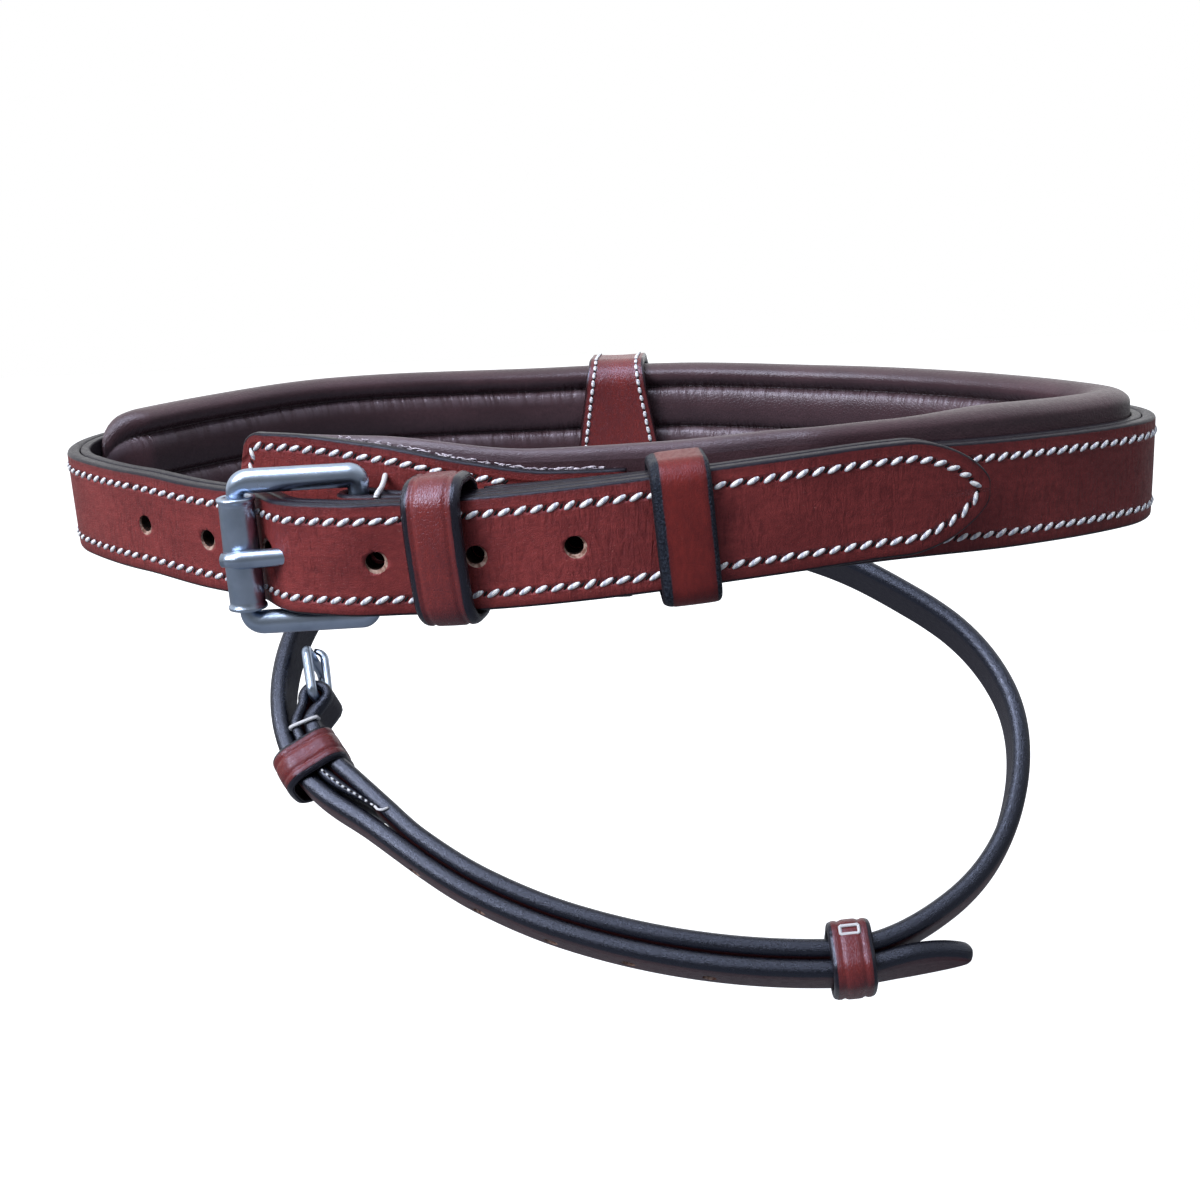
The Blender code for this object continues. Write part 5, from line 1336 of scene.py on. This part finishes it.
def loop_round(left: float, right: float, bottom: float, top: float, radius: float, straight: int = 10, steps: int = 9,
               left_radius: float | None = None) -> np.ndarray:
    """Closed counter-clockwise path round a rectangle with rounded corners, evenly filled on its sides."""
    other = left_radius or radius
    corners = [(right - radius, bottom + radius, radius), (right - radius, top - radius, radius),
               (left + other, top - other, other), (left + other, bottom + other, other)]
    arcs = []
    for number, (x, y, radius) in enumerate(corners):
        turn = (number - 1 + np.linspace(0, 1, steps)) * math.pi / 2
        arcs.append(np.column_stack([x + radius * np.cos(turn), y + radius * np.sin(turn)]))
    path = []
    for arc, following in zip(arcs, arcs[1:] + arcs[:1]):
        share = np.linspace(0, 1, straight + 2)[1:-1, None]
        path += [arc, arc[-1] + (following[0] - arc[-1]) * share]
    return np.concatenate(path)


@dataclass
class Keeper:
    """Leather loop round the straps, made as one closed band."""

    name: str
    node: str
    body: str
    place: np.ndarray
    bounds: tuple[float, float, float, float]
    thick: float
    wide: float
    corner: float
    section: Section
    dent: float = 0.0

    def build(self, material: bpy.types.Material) -> Run:
        """Make the loop.

        Returns:
            Its run, for what lies on it.
        """
        back, front, bottom, top = self.bounds
        half = self.thick / 2
        path = loop_round(back - half, front + half, bottom - half, top + half, self.corner)
        height = (path[:, 1] - (top + bottom) / 2) / ((top - bottom) / 2)
        bow = np.where(path[:, 0] > (front + back) / 2, 1.0, 0.4) * self.dent * (1 - np.clip(height, -1, 1) ** 2)
        path = path + np.column_stack([bow, np.zeros(len(path))])
        run = Run.in_plan(np.arange(len(path)) * 1.0, path, half, self.wide / 2, 0.0, self.place, closed=True)
        piece = add_piece(band_mesh(self.name, run, self.section, self.wide / 2), self.body, material)
        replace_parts(piece, self.node)
        return run


@dataclass
class Buckle:
    """Buckle frame, its tongue and, on the nose strap, a roller."""

    name: str
    node_prefix: str
    place: np.ndarray
    reach: float
    half_opening: float
    bar: float
    end_bar: float
    corner: float
    eye: float
    tongue: float
    tip: float
    rest: float
    overhang: float
    frame_body: str
    tongue_body: str
    stout: float = 0.0

    def frame_path(self) -> tuple[np.ndarray, np.ndarray]:
        """Middle line of the frame in its plane and its bar radius: stout at the sides, slim through the roller."""
        half = self.half_opening + self.bar
        loop = loop_round(0.0, self.reach, -half, half, self.corner, 14, 12, 0.6 * self.corner)
        aside = np.clip((np.abs(loop[:, 1]) - 0.82 * half) / (0.18 * half), 0, 1)
        neck = np.clip((loop[:, 0] - 0.8 * self.reach) / (0.2 * self.reach), 0, 1)
        radius = self.bar + (self.end_bar - self.bar) * neck**2 * (1 - aside) + self.stout * aside * (1 - 0.4 * neck**2)
        return np.column_stack([loop[:, 0], np.zeros(len(loop)), loop[:, 1]]), radius

    def tongue_path(self) -> tuple[np.ndarray, np.ndarray]:
        """Middle line of the tongue: an open eye round the heel bar, then a tangent shank that lies on the end bar
        and bends over it. It returns the line and its radii."""
        eye = self.bar + 0.35 * MM + self.eye
        rest = self.rest + 0.3 * MM + self.tongue
        tilt = math.asin((rest - eye) / self.reach)
        turns = np.linspace(math.radians(262), 0, 34) + math.pi / 2 + tilt
        eye_line = np.column_stack([eye * np.cos(turns), eye * np.sin(turns)])
        seat = np.array([self.reach - rest * math.sin(tilt), rest * math.cos(tilt)])
        shank = eye_line[-1] + (seat - eye_line[-1]) * np.linspace(0.03, 0.97, 26)[:, None]
        bend = math.pi / 2 + tilt - np.linspace(0, self.overhang / rest, 12)
        over = np.column_stack([self.reach + rest * np.cos(bend), rest * np.sin(bend)])
        line = np.concatenate([eye_line, shank, over])
        shank_radii = self.eye + (self.tongue - self.eye) * np.sin(np.linspace(0, math.pi / 2, 26))
        radii = np.concatenate([np.full(34, self.eye), shank_radii, np.linspace(self.tongue, self.tip, 12)])
        return np.column_stack([line, np.zeros(len(line))]), radii

    def build(self, steel: bpy.types.Material) -> None:
        """Make the frame and the tongue."""
        path, radii = self.frame_path()
        normal = self.place[:3, 1]
        mesh = tube_mesh(f"{self.name}_frame_steel", moved(self.place, path), normal, radii, closed=True, steps=24,
                         flatten=0.92)
        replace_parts(add_piece(mesh, self.frame_body, steel), f"{self.node_prefix}_frame")
        path, radii = self.tongue_path()
        mesh = tube_mesh(f"{self.name}_tongue_steel", moved(self.place, path), self.place[:3, 2], radii)
        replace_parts(add_piece(mesh, self.tongue_body, steel), f"{self.node_prefix}_tongue")


@dataclass
class Roller:
    """Roller: a turned tube with a rim at each end and the seam of the sheet that it was bent from."""

    place: np.ndarray
    half: float
    radius: float = 3.4 * MM
    rim: float = 0.35 * MM
    rim_high: float = 0.9 * MM
    bore: float = 2.05 * MM
    seam_turn: float = math.radians(-52)

    def build(self, steel: bpy.types.Material) -> None:
        """Make the roller: its profile turned about the end bar, with a shallow groove along one side."""
        radius, rim, half, high = self.radius, self.rim, self.half, self.rim_high
        end = np.array([(self.bore, -half), (radius - 0.1 * MM, -half), (radius + rim * 0.8, -half + 0.15 * MM),
                        (radius + rim, -half + high * 0.5), (radius + rim * 0.8, -half + high * 0.85),
                        (radius, -half + high * 1.15), (radius, -half + high * 2)])
        profile = np.concatenate([end, [(radius + 0.12 * MM, 0.0)], end[::-1] * (1, -1)])
        turn = np.linspace(0, 2 * math.pi, 96, endpoint=False)
        apart = np.angle(np.exp(1j * (turn - self.seam_turn)))
        groove = 0.3 * MM * np.exp(-((apart / math.radians(4)) ** 2))
        reach = profile[:, 0][None, :] - groove[:, None] * (profile[:, 0] > radius - 0.2 * MM)[None, :]
        points = np.stack([reach * np.cos(turn)[:, None], reach * np.sin(turn)[:, None],
                           np.broadcast_to(profile[:, 1], reach.shape)], axis=-1)
        around = np.tile(np.append(np.linspace(0, 1, len(profile)), 1.2) * 2 * half, (96, 1))
        u = np.linspace(0, 2 * math.pi * radius, 97)
        mesh = grid_mesh("buckle_roller_steel", moved(self.place, points), u, around, True, 0.0)
        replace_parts(add_piece(mesh, "roller", steel), "buckle_roller")


@dataclass
class FlashTab:
    """Leather band round the strap and lining at the back, stitched along both edges."""

    ring: Ring
    sewing: Sewing
    swing: np.ndarray
    thick: float = 2.2 * MM
    top_wide: float = 14.2 * MM
    wide: float = 22.3 * MM
    full_z: float = -8 * MM
    corner: float = 5.5 * MM
    slack: float = 1.5 * MM
    deepest: float = 9.6 * MM
    top: float = 15.9 * MM

    def build(self, leather: bpy.types.Material, strap_wide: float, strap_thick: float) -> None:
        """Make the band.

        Args:
            leather: its material.
            strap_wide: width of the flash strap in its foot.
            strap_thick: thickness of that strap.
        """
        half = self.thick / 2
        back = -self.ring.thick - 0.3 * MM - self.deepest - self.slack
        swept = math.hypot(strap_wide, strap_thick) / 2 + 2.1 * MM
        path = loop_round(back - half, 0.3 * MM + half, self.swing[2] - swept - half, self.top + half, self.corner,
                          26, 14)
        wide = np.interp(path[:, 1], [self.full_z, self.top], [self.wide, self.top_wide])
        place = self.ring.plan.axes(self.ring.plan.length / 2)
        run = Run.in_plan(np.arange(len(path)) * 1.0, path, half, wide / 2, 0.0, place, closed=True)
        section = Section(0.6 * MM, crown=-0.25 * MM, face_steps=18)
        piece = add_piece(band_mesh("flash_tab_leather", run, section, self.wide / 2), "noseband", leather)
        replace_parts(piece, "flash_tab")
        turns = np.concatenate([run.place, [run.place[-1] + 1]])
        columns = (run.middle, run.face, run.up, run.half_thick, run.half_wide)
        closed = Run(turns, *(np.concatenate([column, column[:1]]) for column in columns))
        reads = np.linspace(0, turns[-1], 500)
        rows = [closed.on_face(reads, side * (closed.value(closed.half_wide, reads) - 1.9 * MM)) for side in (1, -1)]
        self.sewing.sew("tab", "noseband", rows, Slant.STRAIGHT)


@dataclass
class FlashStrap:
    """Rounded flash strap: folded round its buckle's heel bar, once round the hoop and on to its tip."""

    ring: Ring
    sewing: Sewing
    plan: Oval = field(default_factory=lambda: Oval(190 * MM, 225 * MM, 51 * MM, 115.5 * MM))
    turn: float = math.radians(-17.5)
    side_shift: float = 5.9 * MM
    lean: float = math.radians(46)
    inset: float = 6.8 * MM
    wide: float = 12.7 * MM
    thick: float = 4.4 * MM
    fold_thick: float = 2.7 * MM
    heel: tuple[float, float] = (-97 * MM, -8.0 * MM)
    end_bar: tuple[float, float] = (-112 * MM, -6.2 * MM)
    bar: float = 1.4 * MM
    turn_back: float = -56 * MM
    thins_along: float = -72 * MM
    turn_back_out: float = -1.45 * MM
    under_out: float = -5.4 * MM
    closed_along: float = -90 * MM
    fixed_keeper: float = -80 * MM
    running_keeper: float = 67 * MM
    single_along: float = -42 * MM
    leaves: float = -150 * MM
    joins: float = -80 * MM
    tip_along: float = 92.0 * MM
    tip_length: float = 13 * MM
    tip_leaves: float = 68.5 * MM
    tip_lift: float = 6.8 * MM
    tip_twist: float = math.radians(13)
    sways: list = field(default_factory=lambda: millimetres([
        (-84, 0), (-56, -2.6), (-22, -0.5), (0, 0), (62, 0), (95, -1.6), (125, -1.6), (160, 0), (185, 0), (215, 1.5),
        (250, 0)]))
    holes: tuple[float, ...] = tuple(-40 * MM + 18.7 * MM * number for number in range(5))
    hole_diameter: float = 2.8 * MM
    chape_along: float = -89.5 * MM
    step: float = 1.3 * MM

    def swing_point(self) -> np.ndarray:
        """Where the strap hangs in the tab's foot."""
        room = math.hypot(self.wide, self.thick) / 2 + 2.1 * MM
        return np.array([0, self.ring.plan.depth / 2 - self.inset, -16.2 * MM - room + 0.6 * MM])

    def to_world(self) -> np.ndarray:
        """Placement of the hoop's plan: turned in its plane, then leaned forward from the tab."""
        back_y = self.plan.depth / 2 - self.plan.back_radius
        turned = np.eye(4)
        turned[:2, :2] = [[math.cos(self.turn), -math.sin(self.turn)], [math.sin(self.turn), math.cos(self.turn)]]
        centre = turned[:3, :3] @ np.array([0, back_y, 0]) + np.array([self.side_shift, 0, 0])
        height = centre[1] + math.sqrt((self.plan.back_radius - self.thick / 2) ** 2 - centre[0] ** 2)
        turned[:3, 3] = (self.side_shift, -height, 0)
        cosine, sine = math.cos(self.lean), math.sin(self.lean)
        return placement((1, 0, 0), (0, cosine, sine), (0, -sine, cosine), self.swing_point()) @ turned

    def billet_middle(self, along: np.ndarray) -> np.ndarray:
        """Middle of the outer run, out of the plan. Its tip stands away."""
        low, high = -self.thick / 2, self.thick / 2 + 0.3 * MM
        leaving = np.maximum(along - self.tip_leaves, 0) / (self.tip_along - self.tip_leaves)
        return eased(along, [(self.leaves, low), (self.joins, high), (0.0, high)]) + self.tip_lift * leaving**2.5

    def run(self) -> Run:
        """All stations from the turn-back over the fold and round the hoop to the tip."""
        plan = self.plan
        radius = self.bar + 0.45 * MM + self.fold_thick / 2
        low = -self.thick / 2
        heel_along, heel_out = self.heel
        inner = np.arange(self.turn_back, heel_along, -self.step)
        inner_out = eased(inner, [(heel_along, heel_out + radius), (self.closed_along, self.turn_back_out),
                                  (0.0, self.turn_back_out)])
        turn = np.linspace(0, math.pi, 17)[1:-1]
        outward = plan.outward(heel_along)
        angle = math.atan2(outward[1], outward[0]) - turn
        fold = plan.point(heel_along, heel_out) + radius * np.column_stack([np.cos(angle), np.sin(angle)])
        under = np.arange(heel_along, plan.length + self.leaves - 0.4 * self.step, self.step)
        under_out = eased(under, [(heel_along, heel_out - radius), (self.closed_along, self.under_out),
                                  (self.thins_along, self.under_out), (self.turn_back, low - 1.2 * MM),
                                  (self.single_along, low), (plan.length, low)])
        tip = self.tip_along - self.tip_length + self.tip_length * np.sin(np.linspace(0, math.pi / 2, 24))
        plain = np.arange(self.leaves, self.tip_along - self.tip_length, self.step)
        billet = clear_steps(plain, tip, closest=0.05 * MM)
        lines = ((inner, inner_out), (under, under_out), (billet, self.billet_middle(billet)))
        layers = [plan.at(along, out + self.sway(along)) for along, out in lines]
        path = np.concatenate([layers[0], fold, *layers[1:]])
        folded = len(inner) + len(fold)
        under_thick = eased(under, [(heel_along, self.fold_thick), (self.closed_along, self.thick),
                                    (plan.length, self.thick)])
        inner_thick = self.fold_thick * eased(inner[::-1], [(self.thins_along, 1.0), (self.turn_back, 0.3)])[::-1]
        thick = np.concatenate([inner_thick, np.full(len(fold), self.fold_thick), under_thick,
                                np.full(len(billet), self.thick)])
        billet_wide = tapered_tip(billet, self.tip_along, self.tip_length, self.wide / 2, 0.16)
        wide = np.concatenate([np.full(folded + len(under), self.wide / 2), billet_wide])
        place = np.concatenate([2 * heel_along - inner, heel_along + np.linspace(0, 1e-6, len(fold)), under,
                                billet + plan.length])
        run = Run.in_plan(place, path, thick / 2, wide, 0.0, self.to_world())
        leaving = (place - plan.length - self.tip_leaves) / (self.tip_along - self.tip_leaves)
        turned = self.tip_twist * np.clip(leaving, 0, 1)[:, None]
        run.face, run.up = (run.face * np.cos(turned) + run.up * np.sin(turned),
                            run.up * np.cos(turned) - run.face * np.sin(turned))
        return run

    def sway(self, along: np.ndarray) -> np.ndarray:
        """How far the hoop strays out of the plain oval, because it hangs unevenly."""
        return eased(along, self.sways)

    def edge_point(self, along: float, out: float, above: float) -> np.ndarray:
        """Place over the upper edges of the layers, given by its height above them."""
        flat = self.plan.point(along, out + float(self.sway(np.array(along))))
        return moved(self.to_world(), np.array([*flat, self.wide / 2 + above]))

    def build(self, leather: bpy.types.Material, walls: tuple[bpy.types.Material, bpy.types.Material]) -> None:
        """Make the strap, punch its holes and sew its turn-back.

        Args:
            leather: its material.
            walls: leather of the holes' raw walls: a dark copy for their painted shade, a pale copy for their painted
                lit rims.
        """
        run = round_ends(self.run(), 1.6 * MM)
        section = Section(1.9 * MM, crown=0.2 * MM, face_steps=14, edge_steps=9)
        piece = add_piece(band_mesh("flash_strap_leather", run, section, self.wide / 2), "flash", leather)
        half = self.hole_diameter / 2
        places = [(along + self.plan.length, half, half, RIM_UP) for along in self.holes]
        punch_holes(piece, run, places, walls, self.thick + 0.12 * MM)
        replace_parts(piece, "flash_strap")
        up = self.to_world()[:3, 2]
        along = np.arange(self.turn_back - 21 * MM, self.turn_back, 0.8 * MM)
        line = np.array([self.edge_point(place, self.turn_back_out, 0.02 * MM) for place in along])
        small = Sewing(self.sewing.thread, self.sewing.slot, 1.75 * MM, 1.1 * MM, 0.7 * MM, 0.6 * MM)
        small.sew("turn_back", "flash", [(line, np.tile(up, (len(along), 1)))], Slant.STRAIGHT, 0.9)
        loose = [(0, 0, 0.2), (1.2, 0.2, 0.5), (2.3, -0.4, 0.55), (2.9, -1.5, 0.3)]
        curl = [self.edge_point(self.turn_back + ahead * MM, self.turn_back_out + out * MM, above * MM)
                for ahead, out, above in loose]
        thread_piece("loose_thread_end", "flash", curl, up, 0.33 * MM, self.sewing.thread)
        over = [(-0.2, -1.0), (-0.5, 0.3), (-3.4, 0.5), (-6.9, 0.35), (-7.4, -0.9)]
        across = [self.edge_point(self.chape_along, out * MM, above * MM) for out, above in over]
        beside = np.cross(up, self.to_world()[:3, :3] @ self.plan.outward(self.chape_along))
        thread_piece("flash_chape_stitch", "flash", across, beside, 0.5 * MM, self.sewing.thread)


@dataclass
class Studio:
    """Camera of the photograph, soft lamps, white surroundings and a pale floor under the hanging noseband."""

    camera_at: tuple = (35.5 * MM, -335.1 * MM, 65.5 * MM)
    forward: tuple = (-0.1055, 0.9554, -0.2758)
    roll: float = math.radians(-3.03)
    lens: float = 45.0
    floor_z: float = -0.45
    bright_way: tuple = (-0.25, 0.62, 0.74)

    def camera(self) -> None:
        """Place the camera: 45 mm lens on a 36 mm square frame."""
        forward = unit(np.array(self.forward))
        right = unit(np.cross(forward, (0, 0, 1)))
        up = np.cross(right, forward)
        cosine, sine = math.cos(self.roll), math.sin(self.roll)
        rolled_right, rolled_up = cosine * right + sine * up, -sine * right + cosine * up
        data = bpy.data.cameras.new("photo_camera")
        data.lens, data.sensor_width, data.clip_start = self.lens, 36.0, 0.01
        camera = bpy.data.objects.new("photo_camera", data)
        matrix = placement(rolled_right, rolled_up, -forward, self.camera_at)
        camera.matrix_world = Matrix(matrix.tolist())
        bpy.context.scene.collection.objects.link(camera)
        bpy.context.scene.camera = camera

    def lamp(self, name: str, at: tuple, size: float, power: float, colour: str) -> None:
        """Square area lamp that looks at the noseband."""
        data = bpy.data.lights.new(name, "AREA")
        data.shape, data.size, data.energy, data.color = "SQUARE", size, power, srgb(colour)[:3]
        lamp = bpy.data.objects.new(name, data)
        back = unit(np.array(at))
        side = unit(np.cross((0, 0, 1), back))
        lamp.matrix_world = Matrix(placement(side, np.cross(back, side), back, at).tolist())
        bpy.context.scene.collection.objects.link(lamp)

    def world(self) -> None:
        """White to the camera; in reflections the same white behind and above, dim where the photographer
        stands; and a soft even light on everything else."""
        world = bpy.data.worlds.new("studio")
        world.use_nodes = True
        tree = world.node_tree
        tree.nodes.clear()
        path = node(tree, "ShaderNodeLightPath")
        seen = wired(tree, Kind.LARGER, path.outputs["Is Camera Ray"], path.outputs["Is Glossy Ray"])
        seen = wired(tree, Kind.LARGER, seen, path.outputs["Is Transmission Ray"])
        place = node(tree, "ShaderNodeTexCoord").outputs["Generated"]
        toward = node(tree, "ShaderNodeVectorMath", {"operation": "DOT_PRODUCT"}, {0: place, 1: self.bright_way})
        bright = wired(tree, Kind.FADE, toward.outputs["Value"], -0.3, 0.75, 0.2, 1.0)
        level = wired(tree, Kind.LARGER, bright, path.outputs["Is Camera Ray"])
        soft = node(tree, "ShaderNodeBackground", None, {"Color": srgb("E4EBF6"), "Strength": 0.3})
        white = node(tree, "ShaderNodeBackground", None, {"Color": (1, 1, 1, 1), "Strength": level})
        both = node(tree, "ShaderNodeMixShader", None, {0: seen, 1: soft.outputs[0], 2: white.outputs[0]})
        node(tree, "ShaderNodeOutputWorld", None, {0: both.outputs[0]})
        bpy.context.scene.world = world

    def floor(self) -> None:
        """Pale floor below the hanging noseband: matt white, lifted to white for the camera."""
        mesh = bpy.data.meshes.new("floor")
        reach = 4.0
        corners = [(x * reach, y * reach, self.floor_z) for x, y in ((-1, -1), (1, -1), (1, 1), (-1, 1))]
        mesh.from_pydata(corners, [], [(0, 1, 2, 3)])
        material = bpy.data.materials.new("matt_white_floor")
        material.use_nodes = True
        tree = material.node_tree
        shader = tree.nodes["Principled BSDF"]
        shader.inputs["Roughness"].default_value = 0.9
        shader.inputs["Specular IOR Level"].default_value = 0.1
        path = node(tree, "ShaderNodeLightPath")
        pale = wired(tree, Kind.MIX, path.outputs["Is Camera Ray"], srgb("75777C"), srgb("F4F5F7"))
        tree.links.new(pale, shader.inputs["Base Color"])
        place = wired(tree, Kind.OBJECT_PLACE)
        off = node(tree, "ShaderNodeVectorMath", {"operation": "LENGTH"}, {0: place}).outputs["Value"]
        far = wired(tree, Kind.FADE, off, 0.5, 1.3, 0.5, 1.0)
        glossy = wired(tree, Kind.TIMES, path.outputs["Is Glossy Ray"], 0.15)
        seen = wired(tree, Kind.LARGER, path.outputs["Is Camera Ray"], glossy)
        shader.inputs["Emission Color"].default_value = (1, 1, 1, 1)
        tree.links.new(wired(tree, Kind.TIMES, seen, far), shader.inputs["Emission Strength"])
        mesh.materials.append(material)
        floor = bpy.data.objects.new("floor", mesh)
        bpy.context.scene.collection.objects.link(floor)

    def build(self) -> None:
        """Set up the view, the lamps and the surroundings."""
        bpy.context.scene.view_settings.view_transform = "Standard"
        self.camera()
        self.world()
        self.lamp("key_lamp", (-1.15, -0.98, 1.1), 0.9, 24.0, "FCFCFF")
        self.lamp("fill_lamp", (1.3, -1.0, 0.5), 1.4, 0.6, "F2F5FF")
        self.lamp("top_lamp", (-0.5, -0.5, 1.4), 1.0, 20.0, "EEF3FF")
        self.floor()


def buckle_place(heel: np.ndarray, end: np.ndarray, side: float) -> tuple[np.ndarray, float]:
    """Placement and reach of a buckle: origin on the heel bar, X towards the end bar, Y to the tongue's side."""
    reach = np.array([*(end - heel), 0.0])
    ahead = unit(reach)
    across = np.array([0.0, 0.0, side])
    return placement(ahead, np.cross(across, ahead), across, (*heel, 0.0)), float(np.linalg.norm(reach))


def nose_keepers(ring: Ring) -> None:
    """Make the fixed keeper beside the buckle and the running keeper on the billet."""
    leather = BridleLeather("keeper_leather", 5.7 * MM, 1.8 * MM, face="85332E", wrinkles=0.2, roughness=0.26,
                            shine=0.65).build()
    worn = BridleLeather("running_keeper_leather", 5.5 * MM, 1.6 * MM, face="84302B", wrinkles=0.2, roughness=0.34,
                         rough_edge=True, edge_in=0.2 * MM, edge="11131C", fibre="46505F").build()
    high = ring.half_wide + 0.45 * MM
    low = ring.half_wide + 0.25 * MM
    height, slope, _ = ring.keeper_place(ring.fixed_keeper)
    front = float(ring.billet_out(np.array(ring.fixed_keeper - 6 * MM))) + 0.3 * MM + 0.4 * MM
    section = Section(0.45 * MM, 0.15 * MM, 30, 6, (-3.3 * MM, 3.3 * MM), bevel=(1.4 * MM, 1.5 * MM))
    Keeper("fixed_keeper_leather", "fixed_keeper", "noseband", ring.plan.axes(ring.fixed_keeper, height, slope),
           bounds=(-2.8 * MM, front, -low - 0.5 * MM, high + 1.7 * MM), thick=1.9 * MM, wide=11.4 * MM,
           corner=4.4 * MM, section=section, dent=1.0 * MM).build(leather)
    height, slope, apart = ring.keeper_place(ring.running_keeper)
    section = Section(0.4 * MM, 0.1 * MM, 22, 6, bevel=(1.1 * MM, 2.0 * MM))
    back = -ring.thick - 0.7 * MM - 0.3 * MM
    Keeper("running_keeper_leather", "running_keeper", "keeper", ring.plan.axes(ring.running_keeper, height, slope),
           bounds=(back, ring.billet_flat + 0.8 * MM, -low - 0.65 * MM - apart, high + 0.35 * MM + apart),
           thick=1.6 * MM, wide=11 * MM, corner=3.4 * MM, section=section, dent=0.5 * MM).build(worn)


def nose_buckle(ring: Ring, steel: bpy.types.Material) -> None:
    """Make the roller buckle: its heel bar in the strap's fold, its end bar under the billet."""
    heel, end = ring.plan.point(ring.heel_along, ring.heel_out), ring.plan.point(*ring.roller)
    place, reach = buckle_place(heel, end, 1.0)
    place[2, 3] = float(ring.strap_lift(np.array(ring.heel_along)))
    end_place = place.copy()
    end_place[:3, 3] = moved(place, np.array([reach, 0.0, 0.0]))
    roller = Roller(end_place, ring.half_wide + ring.side_play - 0.9 * MM)
    Buckle("main_buckle", "buckle", place, reach, ring.half_wide + ring.side_play, bar=ring.bar, end_bar=1.7 * MM,
           corner=2.7 * MM, eye=1.2 * MM, tongue=1.8 * MM, tip=1.4 * MM, rest=roller.radius, overhang=2.0 * MM,
           frame_body="buckle", tongue_body="tongue", stout=0.38 * MM).build(steel)
    roller.build(steel)


def flash_keepers(flash: FlashStrap, to_world: np.ndarray, thread: bpy.types.Material) -> None:
    """Make the flash strap's fixed keeper, and its running keeper with a box of stitches on top."""
    leather = BridleLeather("flash_keeper_leather", 5 * MM, 1.6 * MM, face="85332E", wrinkles=0.2, roughness=0.25,
                            shine=0.65, edge_in=0.5 * MM).build()
    front = flash.thick + 0.3 * MM + 0.6 * MM
    side = flash.wide / 2 + 0.5 * MM
    top = side + 1.1 * MM
    section = Section(0.4 * MM, 0.3 * MM, 30, 6, (-2.3 * MM, 2.3 * MM), 0.3 * MM, 0.5 * MM,
                      bevel=(0.9 * MM, 0.9 * MM))
    shape = {"thick": 1.6 * MM, "wide": 10 * MM, "corner": 4.0 * MM, "section": section, "dent": 0.7 * MM}
    Keeper("flash_fixed_keeper_leather", "flash_fixed_keeper", "flash", to_world @ flash.plan.axes(flash.fixed_keeper),
           (flash.under_out - flash.thick / 2 - 0.6 * MM, front, -side, side), **shape).build(leather)
    place = to_world @ flash.plan.axes(flash.running_keeper)
    Keeper("flash_running_keeper_leather", "flash_running_keeper", "flash_keeper", place,
           (-flash.thick - 2.4 * MM, front, -side, top), **shape).build(leather)
    box = loop_round(-5.9 * MM, -4.0 * MM, -2.1 * MM, 2.1 * MM, 0.35 * MM, 4, 4)
    box = np.column_stack([box[:, 0], np.full(len(box), top + shape["thick"] + 0.05 * MM), box[:, 1]])
    box_stitch = tube_mesh("keeper_box_stitch", moved(place, box), place[:3, 1], 0.38 * MM, True, 10)
    add_piece(box_stitch, "flash_keeper", thread)


def flash_buckle(flash: FlashStrap, to_world: np.ndarray, steel: bpy.types.Material) -> None:
    """Make the small buckle, whose tongue looks into the hoop."""
    place, reach = buckle_place(flash.plan.point(*flash.heel), flash.plan.point(*flash.end_bar), -1.0)
    Buckle("flash_buckle", "flash_buckle", to_world @ place, reach, flash.wide / 2 + 0.45 * MM, bar=flash.bar,
           end_bar=flash.bar, corner=2.4 * MM, eye=0.8 * MM, tongue=1.1 * MM, tip=0.8 * MM, rest=flash.bar,
           overhang=3.2 * MM, frame_body="flash_buckle", tongue_body="flash_tongue").build(steel)


def main() -> None:
    """Build the noseband's pieces in order, then the studio."""
    logging.basicConfig(level=logging.INFO, format="%(name)s: %(message)s")
    ring = Ring()
    thread = WaxedThread().build()
    # near black: painted shade in the awl slots
    slot = PlainFinish("awl_slot_shade", "0C0A0D", "17131A").build()
    # the holes' raw walls in two copies: dark for the painted shade inside, pale for the painted lit rim
    walls = (PlainFinish("shaded_hole_wall", "2E1A15", "0C0706").build(),
             PlainFinish("lit_hole_rim", "B59A8E", "6E4A40", grain=0.9 * MM).build())
    sewing = Sewing(thread, slot)
    strap_leather = BridleLeather("waxed_bridle_leather", ring.half_wide, ring.face_thick, row=7.5 * MM).build()
    backing = BridleLeather("dyed_backing_leather", ring.half_wide, ring.backing_thick, face="2A1E22",
                            deep="191216").build()
    strap = NoseStrap(ring, sewing)
    strap.build(strap_leather, backing, walls)
    lining = Lining(ring)
    lining.build(LiningLeather("padded_lining_leather", lining.seam_places()).build())
    guard = Guard(ring, sewing)
    guard.build(BridleLeather("guard_leather", guard.half_high, guard.thick,
                              row=guard.half_high - guard.row_inset).build())
    guard.fray(PlainFinish("frayed_leather_fibre", "E0DAE4", "A89EAC").build())
    strap.chape_stitch(guard.out)
    nose_keepers(ring)
    steel = SatinSteel("satin_steel").build()
    nose_buckle(ring, steel)

    flash = FlashStrap(ring, sewing)
    fine = Sewing(thread, slot, 2.1 * MM, 1.75 * MM, 0.95 * MM, 0.7 * MM)
    tab_leather = BridleLeather("tab_leather", 11.1 * MM, 2.2 * MM, face="85332E", wrinkles=0.2, roughness=0.25,
                                shine=0.8, edge="2A1416", fibre="3C2226").build()
    FlashTab(ring, fine, flash.swing_point()).build(tab_leather, flash.wide, flash.thick)
    flash_leather = BridleLeather("rounded_flash_leather", flash.wide / 2, flash.thick, edge_in=1.1 * MM,
                                  face="55211F", deep="2E1012", edge="0C0E16", fibre="12151F", shine=0.8,
                                  roughness=0.36, wrinkles=0.05).build()
    flash.build(flash_leather, walls)
    to_world = flash.to_world()
    flash_keepers(flash, to_world, thread)
    flash_buckle(flash, to_world, steel)
    Studio().build()


if __name__ == "__main__":
    main()
